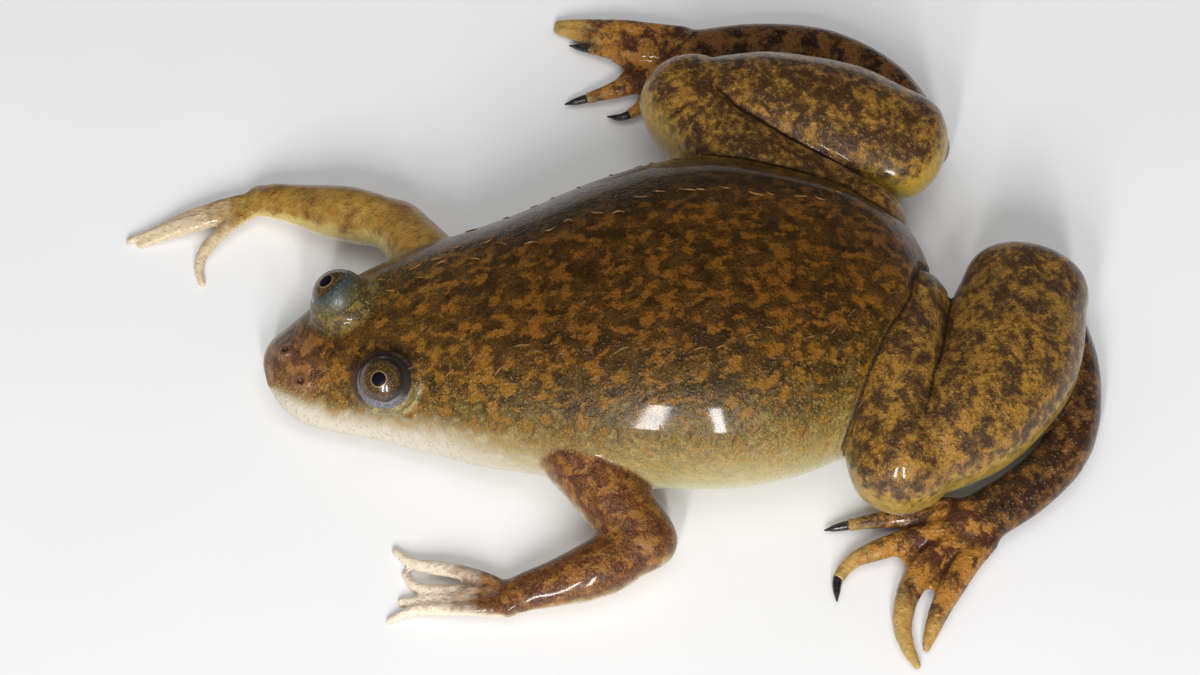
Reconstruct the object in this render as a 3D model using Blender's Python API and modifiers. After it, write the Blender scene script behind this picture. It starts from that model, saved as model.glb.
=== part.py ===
"""African clawed frog (Xenopus laevis), a still, life-size model of an adult female lying on the floor.

Run it with: blender --background --python part.py
Sizes are in millimetres and are scaled to metres as each mesh is made. +Z is up, the frog faces -Y and its
left is +X. Each limb is a tube loft with its own girths, carved back from the one it grows from by GAP, so
that the nodes meet face to face. Everything below the floor is trimmed to small flats at one level.
"""

import math
from collections import namedtuple

import bmesh
import bpy
from mathutils import Matrix, Vector

MM = 0.001
GAP = 0.3
FLOOR_SINK = 0.3

# Driving sizes of the animal
SNOUT_VENT = 92.0
EYE_RADIUS = 3.7
EYE_SPACING = 15.4
CLAW_LENGTH = 3.2
WEB_THICKNESS = 0.6
BODY_SIDES = 28
BODY_RINGS = 36

# Colours from the photograph, as the parts' plain base colours
SKIN_COLOUR = (0.30, 0.17, 0.045, 1.0)
EYE_COLOUR = (0.05, 0.045, 0.035, 1.0)
CLAW_COLOUR = (0.02, 0.018, 0.018, 1.0)

# Cross-sections of head and trunk from snout to vent. along runs from the snout tip, sway is the bend of the
# spine towards the frog's left, turn the section's own yaw in degrees; the rest are the section's half width,
# the height of its widest line, and how far it rises above and drops below that line.
Section = namedtuple("Section", "along sway turn half_width widest rise drop")
SNOUT_Y = -45.6
BODY = [
    Section(1.1, -5.6, 10, 3.6, 4.0, 1.9, 1.7),
    Section(2.2, -5.6, 11, 5.6, 4.0, 2.9, 2.7),
    Section(4.0, -5.5, 13, 7.4, 4.0, 4.0, 3.6),
    Section(7.0, -5.3, 15, 9.2, 4.1, 5.5, 4.1),
    Section(10.5, -5.1, 15, 10.9, 4.3, 7.0, 4.5),
    Section(14.0, -4.8, 14, 12.8, 4.6, 8.2, 4.8),
    Section(19.0, -4.2, 10, 15.1, 5.2, 9.5, 5.5),
    Section(26.0, -3.2, 1, 17.1, 6.4, 11.4, 6.7),
    Section(36.0, -1.9, -5, 19.5, 7.6, 13.7, 7.9),
    Section(46.0, -1.0, -5, 22.6, 8.4, 15.4, 8.7),
    Section(58.0, 0.2, 0, 25.1, 8.8, 16.0, 9.1),
    Section(68.0, 0.2, 4, 24.8, 8.8, 15.3, 9.1),
    Section(77.0, -0.6, 8, 21.4, 8.8, 13.6, 8.8),
    Section(84.0, -2.2, 10, 15.8, 9.0, 11.0, 7.6),
    Section(88.5, -3.2, 10, 9.8, 9.4, 7.6, 5.6),
    Section(91.2, -3.7, 10, 4.8, 9.8, 3.8, 3.4),
]
NECK_ALONG = 22.5
SNOUT_TOP_POWER, TOP_POWER, BELLY_POWER = 1.55, 2.2, 2.5
WEDGE_ALONG = 4.0
EYE_ALONG, EYE_HEIGHT = 13.8, 12.6
NOSTRIL_ALONG, NOSTRIL_SPACING = 4.4, 3.9
MOUTH_END_ALONG, MOUTH_FRONT_ALONG, MOUTH_DROP_DEG = 18.5, 1.2, 14.0
MOUTH_RADIUS, LIP_RADIUS = 0.42, 0.8
LID_RADIUS, LID_OUT, LID_LIFT = 0.62, 0.12, 0.15
MOUND_RADII, MOUND_SINK = (4.6, 5.0, 3.9), 2.0
EYE_LOOK = (0.36, 0.30, 0.88)  # out, ahead and up
NOSTRIL_RIM, NOSTRIL_PIT = (1.15, 1.25, 0.75), (0.5, 0.62, 0.8)
FEELER_ALONG, FEELER_DEG, FEELER_LENGTH = 14.8, 58, 1.9
FEELER_RADII = [(0, 0.55), (1, 0.32)]

# Joints, as (left or right, along the body, height), read off the pose
ARMS = {
    "l": {
        "shoulder": (11.0, -9.0, 9.5),
        "elbow": (29.9, 0.4, 5.0),
        "wrist": (32.8, -17.4, 3.0),
        "girth": 1.0,
        "bow": 1.0,
        "spread": 1.0,
    },
    "r": {
        "shoulder": (-13.0, -18.2, 8.8),
        "elbow": (-27.0, -23.2, 5.8),
        "wrist": (-36.6, -39.5, 3.2),
        "girth": 0.9,
        "bow": 0.0,
        "spread": 0.7,
    },
}
LEGS = {
    "l": {
        "hip": (4.0, 42.0, 10.0),
        "thigh": (16.0, 37.6, 10.2),
        "knee": (28.2, 35.0, 10.0),
        "calf": (18.2, 50.4, 10.0),
        "heel": (2.8, 59.8, 9.2),
        "girth": 1.0,
        "tarsus": [
            (1.8, 62.5, 4.8),
            (13.6, 63.8, 3.6),
            (25.4, 59.8, 3.4),
            (31.2, 52.4, 3.0),
            (33.8, 45.6, 2.4),
        ],
    },
    "r": {
        "hip": (-9.5, 40.0, 10.0),
        "thigh": (-22.0, 26.6, 9.4),
        "knee": (-36.6, 20.6, 10.0),
        "calf": (-29.2, 36.8, 10.6),
        "heel": (-22.6, 49.6, 9.2),
        "girth": 0.97,
        "tarsus": [
            (-24.8, 53.2, 4.8),
            (-37.0, 51.0, 3.6),
            (-45.4, 43.6, 3.4),
            (-49.2, 33.6, 3.0),
            (-50.2, 25.4, 2.4),
        ],
    },
}

# Half widths and half heights along each part of a limb, as (fraction of its length, size)
UPPER_ARM = [(0, 5.8), (0.5, 5.0), (1, 4.3)]
FOREARM_WIDTHS, FOREARM_HEIGHTS = [(0, 3.5), (0.35, 4.2), (1, 2.9)], [(0, 3.5), (0.35, 3.8), (1, 2.2)]
PALM_WIDTHS, PALM_HEIGHTS = [(0, 2.5), (1, 2.6)], [(0, 1.9), (1, 1.6)]
THIGH_WIDTHS, THIGH_HEIGHTS = [(0, 6.2), (0.5, 7.4), (1, 7.2)], [(0, 7.0), (0.5, 8.6), (1, 7.2)]
SHANK_WIDTHS = [(0, 6.4), (0.35, 9.4), (0.65, 10.1), (1, 8.7)]
SHANK_HEIGHTS = [(0, 6.6), (0.35, 8.0), (0.65, 7.6), (1, 5.8)]
TARSUS_WIDTHS, TARSUS_HEIGHTS = [(0, 3.4), (0.5, 3.6), (1, 3.9)], [(0, 3.5), (0.5, 3.4), (1, 2.4)]
INSTEP_WIDTHS, INSTEP_HEIGHTS = [(0, 3.6), (1, 3.8)], [(0, 2.3), (1, 1.9)]
PALM_LENGTH, TOE_SPREAD = 2.6, 1.45

# Digits from the inner one outwards. heading is in degrees from straight ahead, positive to the frog's left;
# bend is the turn along the digit and hook the extra turn of its last quarter.
Digit = namedtuple("Digit", "length heading bend hook root_radius tip_radius")
FINGERS = {
    "l": [
        Digit(17.0, -42, 28, -42, 1.15, 0.5),
        Digit(15.6, -22, 8, -55, 1.05, 0.5),
        Digit(15.0, -19, 6, 0, 1.15, 0.5),
        Digit(17.0, -13, -4, 30, 1.1, 0.5),
    ],
    "r": [
        Digit(15.4, 16, 42, 40, 1.1, 0.5),
        Digit(18.0, 10, -8, 6, 1.05, 0.5),
        Digit(19.8, 6, -1, -2, 1.1, 0.5),
        Digit(18.0, 0, 12, 0, 1.05, 0.5),
    ],
}
TOES = {
    "l": [
        Digit(11.0, -16, 0, 0, 1.2, 0.7),
        Digit(19.4, -12, 10, 0, 1.35, 0.75),
        Digit(24.0, 2, 12, 60, 1.6, 0.75),
        Digit(25.0, 6, 88, 15, 1.65, 0.45),
        Digit(18.4, 37, 24, 0, 1.65, 0.45),
    ],
    "r": [
        Digit(14.8, 24, 14, -60, 1.15, 0.7),
        Digit(19.2, 17, -18, 0, 1.55, 0.75),
        Digit(17.6, -10, -22, 0, 1.5, 0.75),
        Digit(19.6, -15, -19, 0, 1.65, 0.45),
        Digit(19.2, -18, -11, 0, 1.8, 0.45),
    ],
}
# Webs between neighbouring toes: how far along the toes they reach, and how deeply their edge curves in
WEBS = {
    "l": [(0.62, 0.16), (0.62, 0.16), (0.62, 0.16), (0.62, 0.16)],
    "r": [(0.85, 0.25), (0.95, 0.32), (0.9, 0.1), (0.85, 0.1)],
}
CLAWED_TOES = 3
TOE_BREADTH = 1.12
CLAWED_TAPER = [(0, 1.0), (0.55, 0.9)]
POINTED_TAPER = [(0, 1.0), (0.45, 0.98), (0.75, 0.72), (0.9, 0.48)]


def smooth_between(rows, count):
    """Rows of numbers, resampled to count rows on a smooth curve through them."""
    rows = [Vector(row) for row in rows]
    knots = [0.0]
    for a, b in zip(rows, rows[1:]):
        knots.append(knots[-1] + max((b - a).length, 1e-6) ** 0.5)
    made = []
    for i in range(count):
        at = knots[-1] * i / (count - 1)
        k = max(j for j in range(len(knots) - 1) if knots[j] <= at + 1e-9)
        step = knots[k + 1] - knots[k]
        t = (at - knots[k]) / step
        before, after = max(k - 1, 0), min(k + 2, len(rows) - 1)
        slope_in = (rows[k + 1] - rows[before]) / (knots[k + 1] - knots[before]) * step
        slope_out = (rows[after] - rows[k]) / (knots[after] - knots[k]) * step
        made.append(
            rows[k] * (2 * t**3 - 3 * t**2 + 1)
            + slope_in * (t**3 - 2 * t**2 + t)
            + rows[k + 1] * (3 * t**2 - 2 * t**3)
            + slope_out * (t**3 - t**2)
        )
    return made


def at_fraction(pairs, fraction):
    """The value at a fraction of a length, from (fraction, value) pairs, eased between them."""
    for (low, a), (high, b) in zip(pairs, pairs[1:]):
        if fraction <= high:
            t = max(0.0, (fraction - low) / (high - low))
            return a + (b - a) * t * t * (3 - 2 * t)
    return pairs[-1][1]


def power_ring(centre, side, up, half_width, rise, drop, sides, top_power=2.0, low_power=2.0):
    """Points round a cross-section whose upper and lower halves are superellipses."""
    points = []
    for i in range(sides):
        angle = 2 * math.pi * i / sides
        c, s = math.cos(angle), math.sin(angle)
        power, height = (top_power, rise) if s >= 0 else (low_power, drop)
        across = half_width * math.copysign(abs(c) ** (2 / power), c)
        upward = height * math.copysign(abs(s) ** (2 / power), s)
        points.append(centre + side * across + up * upward)
    return points


def mesh_object(name, rings, first_pole, last_pole, material=None):
    """A closed loft through rings of points, with a pole point at each end."""
    shape = bmesh.new()
    loops = [[shape.verts.new(point * MM) for point in ring] for ring in rings]
    sides = len(loops[0])
    for low, high in zip(loops, loops[1:]):
        for i in range(sides):
            j = (i + 1) % sides
            shape.faces.new((low[i], low[j], high[j], high[i]))
    for pole, loop in ((first_pole, loops[0]), (last_pole, loops[-1])):
        tip = shape.verts.new(pole * MM)
        for i in range(sides):
            shape.faces.new((loop[i], loop[(i + 1) % sides], tip))
    bmesh.ops.recalc_face_normals(shape, faces=shape.faces)
    mesh = bpy.data.meshes.new(name)
    shape.to_mesh(mesh)
    shape.free()
    mesh.shade_smooth()
    made = bpy.data.objects.new(name, mesh)
    bpy.context.scene.collection.objects.link(made)
    if material:
        mesh.materials.append(material)
    return made


def top_power(along):
    """Squareness of a section's upper half: a wedge at the snout, full from the eyes back."""
    return at_fraction([(WEDGE_ALONG, SNOUT_TOP_POWER), (EYE_ALONG, TOP_POWER)], along)


def body_sections(count):
    return [Section(*row) for row in smooth_between(BODY, count)]


def section_frame(section, lift=0.0):
    """Centre and sideways direction of a body section."""
    turn = math.radians(section.turn)
    centre = Vector((section.sway, SNOUT_Y + section.along, section.widest + lift))
    return centre, Vector((math.cos(turn), math.sin(turn), 0))


def body_at(along):
    """The interpolated body section nearest to a distance from the snout."""
    return min(body_sections(300), key=lambda section: abs(section.along - along))


def body_loft(name, grow=0.0, material=None):
    """Head and trunk as one smooth loft, every size enlarged by grow."""
    rings = []
    for section in body_sections(BODY_RINGS):
        centre, side = section_frame(section)
        rings.append(
            power_ring(
                centre, side, Vector((0, 0, 1)), section.half_width + grow, section.rise + grow,
                section.drop + grow, BODY_SIDES, top_power(section.along), BELLY_POWER,
            )
        )
    first, last = BODY[0], BODY[-1]
    snout = Vector((first.sway, SNOUT_Y + first.along / 2 - grow, first.widest))
    vent = Vector((last.sway, SNOUT_Y + SNOUT_VENT + grow, last.widest))
    return mesh_object(name, rings, snout, vent, material)


def body_point(along, angle_deg, lift=0.0):
    """A point of the body's surface at an angle up from its left side, moved out by lift."""
    section = body_at(along)
    centre, side = section_frame(section)
    angle = math.radians(angle_deg)
    c, s = math.cos(angle), math.sin(angle)
    power, height = (top_power(along), section.rise) if s >= 0 else (BELLY_POWER, section.drop)
    across = (section.half_width + lift) * math.copysign(abs(c) ** (2 / power), c)
    upward = (height + lift) * math.copysign(abs(s) ** (2 / power), s)
    return centre + side * across + Vector((0, 0, upward))


def tube(name, path, widths, heights, sides=12, rings=12, grow=0.0, flat_start=False, flat_end=False,
         material=None):
    """A tube along a smooth path. widths and heights are half sizes as (fraction, size) pairs; an end is a
    rounded cap unless it is flat."""
    line = smooth_between(path, rings)
    loops, caps = [], []
    for i, centre in enumerate(line):
        ahead = (line[min(i + 1, rings - 1)] - line[max(i - 1, 0)]).normalized()
        side = Vector((0, 0, 1)).cross(ahead).normalized()
        up = ahead.cross(side)
        half_width = at_fraction(widths, i / (rings - 1)) + grow
        half_height = at_fraction(heights, i / (rings - 1)) + grow
        loops.append(power_ring(centre, side, up, half_width, half_height, half_height, sides))
        if i in (0, rings - 1):
            outward = ahead if i else -ahead
            flat = flat_end if i else flat_start
            reach = 0.9 * min(half_width, half_height)
            cap = []
            for step in (0.35, 0.7):
                if not flat:
                    angle = step * math.pi / 2
                    shrink = math.cos(angle)
                    cap.append(
                        power_ring(
                            centre + outward * reach * math.sin(angle), side, up,
                            half_width * shrink, half_height * shrink, half_height * shrink, sides,
                        )
                    )
            caps.append((cap, centre + outward * (0.0 if flat else reach)))
    (first_cap, first_pole), (last_cap, last_pole) = caps
    return mesh_object(name, first_cap[::-1] + loops + last_cap, first_pole, last_pole, material)


def ball(name, centre, radii, material=None, segments=20, rings=14, turn=None):
    """An ellipsoid with its own turn matrix."""
    bpy.ops.mesh.primitive_uv_sphere_add(segments=segments, ring_count=rings, radius=1.0)
    made = bpy.context.object
    made.name = name
    matrix = Matrix.Translation(centre * MM) @ (turn or Matrix.Identity(4)) @ Matrix.Diagonal(
        Vector((*radii, 1.0 / MM)) * MM
    )
    made.data.transform(matrix)
    made.data.shade_smooth()
    if material:
        made.data.materials.append(material)
    return made


def block(name, low, high):
    """An axis-aligned box between two corners."""
    bpy.ops.mesh.primitive_cube_add(size=1.0)
    made = bpy.context.object
    made.name = name
    low, high = Vector(low), Vector(high)
    size = high - low
    made.data.transform(Matrix.Translation((low + high) / 2 * MM) @ Matrix.Diagonal((*(size * MM), 1.0)))
    return made


def evaluated_mesh(made):
    graph = bpy.context.evaluated_depsgraph_get()
    return bpy.data.meshes.new_from_object(made.evaluated_get(graph))


def keep_largest(made):
    """Drops every closed surface of an object but the largest."""
    shape = bmesh.new()
    shape.from_mesh(made.data)
    shape.verts.ensure_lookup_table()
    unseen, islands = set(shape.verts), []
    while unseen:
        stack, island = [unseen.pop()], []
        while stack:
            vertex = stack.pop()
            island.append(vertex)
            for edge in vertex.link_edges:
                other = edge.other_vert(vertex)
                if other in unseen:
                    unseen.remove(other)
                    stack.append(other)
        islands.append(island)
    islands.sort(key=len)
    for island in islands[:-1]:
        bmesh.ops.delete(shape, geom=island, context="VERTS")
    shape.to_mesh(made.data)
    shape.free()


def combine(made, others, operation):
    """Applies a Boolean between an object and a list of others, which are then removed."""
    group = bpy.data.collections.new(made.name + "_tools")
    bpy.context.scene.collection.children.link(group)
    for other in others:
        group.objects.link(other)
    modifier = made.modifiers.new(operation.lower(), "BOOLEAN")
    modifier.operation = operation
    modifier.operand_type = "COLLECTION"
    modifier.collection = group
    modifier.solver = "EXACT"
    mesh = evaluated_mesh(made)
    made.modifiers.clear()
    made.data = mesh
    keep_largest(made)
    for other in others:
        bpy.data.objects.remove(other)
    bpy.data.collections.remove(group)
    return made


def fuse(made, others):
    return combine(made, others, "UNION")


def carve(made, cutters):
    for cutter in cutters:
        combine(made, [cutter], "DIFFERENCE")
    return made


def trim_to_floor(made):
    return carve(made, [block("floor_cutter", (-200, -200, -60), (200, 200, 0))])


def digit_path(root, digit, tip_height, points=8, arch=0.5):
    """Points along a digit that turns evenly and hooks over its last quarter."""
    path = [Vector(root)]
    step = digit.length / (points - 1)
    for i in range(1, points):
        t = i / (points - 1)
        hook = digit.hook * max(0.0, (t - 0.75) / 0.25)
        heading = math.radians(digit.heading + digit.bend * (i - 0.5) / (points - 1) + hook)
        flat = path[-1] + Vector((math.sin(heading), -math.cos(heading), 0)) * step
        height = root[2] + (tip_height - root[2]) * t + arch * math.sin(math.pi * t)
        path.append(Vector((flat.x, flat.y, height)))
    return path


def stretch(path, start, end, count):
    """Count points evenly spaced along a path between two distances from its beginning."""
    line = smooth_between(path, 80)
    lengths = [0.0]
    for a, b in zip(line, line[1:]):
        lengths.append(lengths[-1] + (b - a).length)
    points = []
    for i in range(count):
        at = start + (end - start) * i / (count - 1)
        k = max(j for j in range(len(line) - 1) if lengths[j] <= at + 1e-9)
        points.append(line[k].lerp(line[k + 1], (at - lengths[k]) / (lengths[k + 1] - lengths[k])))
    return points


def web(name, inner, outer, reach, scallop, rows=8, columns=7):
    """The membrane between two digits, as an open sheet with Solidify, applied."""
    shape = bmesh.new()
    inner_line, outer_line = smooth_between(inner, 40), smooth_between(outer, 40)
    grid = []
    for i in range(rows):
        grid.append([])
        for j in range(columns):
            v = j / (columns - 1)
            u = reach * i / (rows - 1) * (1 - scallop * math.sin(math.pi * v))
            a, b = inner_line[round(u * 39)], outer_line[round(u * 39)]
            point = a.lerp(b, v)
            point.z -= 0.25 * math.sin(math.pi * v)
            grid[-1].append(shape.verts.new(point * MM))
    for i in range(rows - 1):
        for j in range(columns - 1):
            shape.faces.new((grid[i][j], grid[i][j + 1], grid[i + 1][j + 1]))
            shape.faces.new((grid[i][j], grid[i + 1][j + 1], grid[i + 1][j]))
    bmesh.ops.recalc_face_normals(shape, faces=shape.faces)
    mesh = bpy.data.meshes.new(name)
    shape.to_mesh(mesh)
    shape.free()
    made = bpy.data.objects.new(name, mesh)
    bpy.context.scene.collection.objects.link(made)
    thick = made.modifiers.new("thickness", "SOLIDIFY")
    thick.thickness = WEB_THICKNESS * MM
    thick.offset = 0.0
    mesh = evaluated_mesh(made)
    made.modifiers.clear()
    made.data = mesh
    return made


def clear_scene():
    for old in list(bpy.data.objects):
        bpy.data.objects.remove(old)


def make_material(name, colour, roughness):
    made = bpy.data.materials.new(name)
    made.use_nodes = True
    shader = made.node_tree.nodes["Principled BSDF"]
    shader.inputs["Base Color"].default_value = colour
    shader.inputs["Roughness"].default_value = roughness
    shader.inputs["Metallic"].default_value = 0.0
    return made


def eye_frame(side):
    """Centre of an eyeball and the direction that it looks: outwards, ahead and mostly up."""
    section = body_at(EYE_ALONG)
    centre, across = section_frame(section)
    ahead = Vector((across.y, -across.x, 0))
    middle = Vector((centre.x, centre.y, EYE_HEIGHT))
    out, forward, up = EYE_LOOK
    look = (across * side * out + ahead * forward + Vector((0, 0, up))).normalized()
    return middle + across * side * EYE_SPACING / 2, look


def eye_ball(name, side, grow=0.0, material=None):
    centre, _ = eye_frame(side)
    radius = EYE_RADIUS + grow
    return ball(name, centre, (radius, radius, radius), material, segments=18, rings=10)


def eye_lid(side):
    """The raised rim of skin round an eye."""
    centre, look = eye_frame(side)
    bpy.ops.mesh.primitive_torus_add(
        major_segments=24, minor_segments=8, major_radius=(EYE_RADIUS + LID_OUT) * MM,
        minor_radius=LID_RADIUS * MM,
    )
    made = bpy.context.object
    made.name = "lid"
    turn = look.to_track_quat("Z", "Y").to_matrix().to_4x4()
    made.data.transform(Matrix.Translation((centre + look * LID_LIFT) * MM) @ turn)
    return made


def mouth_line(lift, raised, count=44):
    """Points along the line of the mouth, from one jaw corner round the snout to the other."""
    stations = [MOUTH_END_ALONG - (MOUTH_END_ALONG - MOUTH_FRONT_ALONG) * i / 8 for i in range(9)]
    left = [body_point(along, -MOUTH_DROP_DEG, lift) for along in stations]
    right = [body_point(along, 180 + MOUTH_DROP_DEG, lift) for along in reversed(stations)]
    first = BODY[0]
    tip = Vector((first.sway, SNOUT_Y + first.along / 2 - lift, first.widest - 0.7))
    return [point + Vector((0, 0, raised)) for point in smooth_between(left + [tip] + right, count)]


def rope(name, line, radius):
    """A round cord of even radius along points, as one closed mesh."""
    curve = bpy.data.curves.new(name, "CURVE")
    curve.dimensions = "3D"
    curve.bevel_depth = radius * MM
    curve.bevel_resolution = 1
    curve.use_fill_caps = True
    spline = curve.splines.new("POLY")
    spline.points.add(len(line) - 1)
    for point, place in zip(spline.points, line):
        point.co = (*(place * MM), 1.0)
    drawn = bpy.data.objects.new(name, curve)
    bpy.context.scene.collection.objects.link(drawn)
    made = bpy.data.objects.new(name, evaluated_mesh(drawn))
    bpy.context.scene.collection.objects.link(made)
    bpy.data.objects.remove(drawn)
    shape = bmesh.new()
    shape.from_mesh(made.data)
    bmesh.ops.remove_doubles(shape, verts=shape.verts, dist=0.00001)
    bmesh.ops.recalc_face_normals(shape, faces=shape.faces)
    shape.to_mesh(made.data)
    shape.free()
    return made


def add_eye_socket(side):
    """What is fused to the head round an eye, and what is cut out for it."""
    centre, look = eye_frame(side)
    mound = ball("mound", centre - look * MOUND_SINK, MOUND_RADII)
    root = body_point(FEELER_ALONG, 90 - side * FEELER_DEG, -0.5)
    out = (body_point(FEELER_ALONG, 90 - side * FEELER_DEG, 1.0) - root).normalized()
    path = [root, root + out, root + out * FEELER_LENGTH + Vector((0, 0.5, 0))]
    feeler = tube("feeler", path, FEELER_RADII, FEELER_RADII, sides=6, rings=4)
    return [mound, eye_lid(side), feeler], [eye_ball("socket", side, grow=GAP)]


def add_nostril(side):
    """The raised rim of a nostril, and the pit cut into it."""
    angle = 90 - side * math.degrees(math.atan2(NOSTRIL_SPACING / 2, body_at(NOSTRIL_ALONG).rise))
    rim = body_point(NOSTRIL_ALONG, angle)
    pit = rim + Vector((side * 0.25, -0.3, 0.7))
    return (
        [ball("nostril_rim", rim, NOSTRIL_RIM, segments=12, rings=8)],
        [ball("nostril", pit, NOSTRIL_PIT, segments=8, rings=6)],
    )


def make_head(skin):
    """Head with eye mounds, lids, a feeler under each eye, nostrils, lips and the line of the mouth."""
    neck = SNOUT_Y + NECK_ALONG
    head = body_loft("head", material=skin)
    added = [rope("upper_lip", mouth_line(-0.45, 0.75), LIP_RADIUS)]
    cut = [rope("mouth", mouth_line(0.1, 0.0), MOUTH_RADIUS)]
    for side in (1, -1):
        for raised, hollow in (add_eye_socket(side), add_nostril(side)):
            added += raised
            cut += hollow
    fuse(head, added)
    cut.append(block("neck_cutter", (-100, neck, -60), (100, 200, 100)))
    carve(head, cut)
    return trim_to_floor(head)


def make_torso(skin):
    neck = SNOUT_Y + NECK_ALONG + GAP
    torso = body_loft("torso", material=skin)
    carve(torso, [block("neck_cutter", (-100, -200, -60), (100, neck, 100))])
    return trim_to_floor(torso)


def upper_arm(side, name, grow=0.0, material=None):
    arm = ARMS[side]
    sizes = [(part, half * arm["girth"]) for part, half in UPPER_ARM]
    return tube(name, [arm["shoulder"], arm["elbow"]], sizes, sizes, rings=8, grow=grow, material=material)


def forearm(side, name, grow=0.0, material=None):
    arm = ARMS[side]
    elbow, wrist = Vector(arm["elbow"]), Vector(arm["wrist"])
    middle = elbow.lerp(wrist, 0.5) + Vector((arm["bow"], 0, 0.2))
    return tube(name, [elbow, middle, wrist], FOREARM_WIDTHS, FOREARM_HEIGHTS, rings=9, grow=grow,
                material=material)


def thigh(side, name, grow=0.0, material=None):
    leg = LEGS[side]
    return tube(name, [leg["hip"], leg["thigh"], leg["knee"]], THIGH_WIDTHS, THIGH_HEIGHTS, sides=18,
                rings=10, grow=grow, material=material)


def shank(side, name, grow=0.0, material=None):
    leg = LEGS[side]
    widths = [(part, half * leg["girth"]) for part, half in SHANK_WIDTHS]
    return tube(name, [leg["knee"], leg["calf"], leg["heel"]], widths, SHANK_HEIGHTS, sides=18, rings=12,
                grow=grow, material=material)


def tarsus(side, name, grow=0.0, material=None):
    return tube(name, LEGS[side]["tarsus"], TARSUS_WIDTHS, TARSUS_HEIGHTS, sides=12, rings=12, grow=grow,
                material=material)


def make_hand(side, skin):
    """Palm and four fingers, fused."""
    arm = ARMS[side]
    wrist, elbow = Vector(arm["wrist"]), Vector(arm["elbow"])
    ahead = (wrist - elbow)
    ahead.z = 0
    ahead.normalize()
    palm_end = wrist + ahead * PALM_LENGTH
    palm_end.z = 2.2
    across = Vector((-ahead.y, ahead.x, 0)) * (1 if side == "l" else -1)
    palm = tube("hand_" + side, [wrist, palm_end], PALM_WIDTHS, PALM_HEIGHTS, rings=4, material=skin)
    fingers = []
    for i, digit in enumerate(FINGERS[side]):
        root = wrist + ahead * 1.4 + across * (i - 1.5) * arm["spread"]
        root.z = 2.1
        path = digit_path(root, digit, tip_height=digit.tip_radius - FLOOR_SINK / 2)
        sizes = [(0, digit.root_radius), (0.6, digit.root_radius * 0.85), (1, digit.tip_radius)]
        fingers.append(tube("finger", path, sizes, sizes, sides=8, rings=9))
    return fuse(palm, fingers)


def make_foot(side, skin, horn):
    """Instep, five toes and the webs between them, fused, with claws on the inner three toes."""
    end = Vector(LEGS[side]["tarsus"][-1])
    before = Vector(LEGS[side]["tarsus"][-2])
    ahead = end - before
    ahead.z = 0
    ahead.normalize()
    across = Vector((-ahead.y, ahead.x, 0)) * (1 if side == "l" else -1)
    foot = tube("foot_" + side, [end - ahead, end + ahead * 3.0], INSTEP_WIDTHS, INSTEP_HEIGHTS, rings=4,
                material=skin)
    paths, toes, claws, cutters = [], [], [], []
    for i, digit in enumerate(TOES[side]):
        root = end + ahead * 1.5 + across * (i - 2) * TOE_SPREAD
        root.z = 2.0
        path = digit_path(root, digit, tip_height=0.75)
        clawed = i < CLAWED_TOES
        taper = CLAWED_TAPER if clawed else POINTED_TAPER
        girths = [(at, digit.root_radius * part) for at, part in taper] + [(1, digit.tip_radius)]
        widths = [(at, half * TOE_BREADTH) for at, half in girths]
        if clawed:
            claw_path = stretch(path, digit.length - CLAW_LENGTH + GAP, digit.length, 6)
            path = stretch(path, 0.0, digit.length - CLAW_LENGTH, 8)
            claw_sizes = [(0, digit.tip_radius), (0.5, digit.tip_radius * 0.75), (1, 0.14)]
            claws.append(tube(f"claw_{i + 1}_{side}", claw_path, claw_sizes, claw_sizes, sides=8, rings=6,
                              flat_start=True, material=horn))
            cutters.append(tube("cutter", claw_path, claw_sizes, claw_sizes, sides=8, rings=6, grow=GAP,
                                flat_start=True))
        toes.append(tube("toe", path, widths, girths, sides=8, rings=12, flat_end=clawed))
        paths.append(path)
    webs = [web("web", a, b, *shape) for a, b, shape in zip(paths, paths[1:], WEBS[side])]
    return carve(fuse(foot, toes + webs), cutters), claws


def make_arm(side, skin):
    upper = carve(upper_arm(side, "upper_arm_" + side, material=skin), [body_loft("body", GAP)])
    fore = carve(forearm(side, "forearm_" + side, material=skin), [upper_arm(side, "cutter", GAP)])
    hand = carve(make_hand(side, skin), [forearm(side, "cutter", GAP)])
    return [trim_to_floor(piece) for piece in (upper, fore, hand)]


def make_leg(side, skin, horn):
    upper = carve(thigh(side, "thigh_" + side, material=skin), [body_loft("body", GAP)])
    lower = carve(shank(side, "shank_" + side, material=skin),
                  [thigh(side, "cutter", GAP), body_loft("body", GAP)])
    ankle = carve(tarsus(side, "tarsus_" + side, material=skin), [shank(side, "cutter", GAP)])
    foot, claws = make_foot(side, skin, horn)
    carve(foot, [tarsus(side, "cutter", GAP), shank(side, "cutter", GAP), thigh(side, "cutter", GAP)])
    return [trim_to_floor(piece) for piece in (upper, lower, ankle, foot)] + claws


def centre_on_floor(pieces):
    """Moves every piece so that the origin is under the middle of the whole frog."""
    corners = [piece.matrix_world @ Vector(corner) for piece in pieces for corner in piece.bound_box]
    low = Vector(min(corner[i] for corner in corners) for i in range(3))
    high = Vector(max(corner[i] for corner in corners) for i in range(3))
    shift = Matrix.Translation(-Vector(((low.x + high.x) / 2, (low.y + high.y) / 2, low.z)))
    for piece in pieces:
        piece.data.transform(shift)


def gather(pieces, name):
    """Moves the pieces into a collection named for the animal."""
    group = bpy.data.collections.new(name)
    bpy.context.scene.collection.children.link(group)
    for piece in pieces:
        for old in list(piece.users_collection):
            old.objects.unlink(piece)
        group.objects.link(piece)


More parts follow.
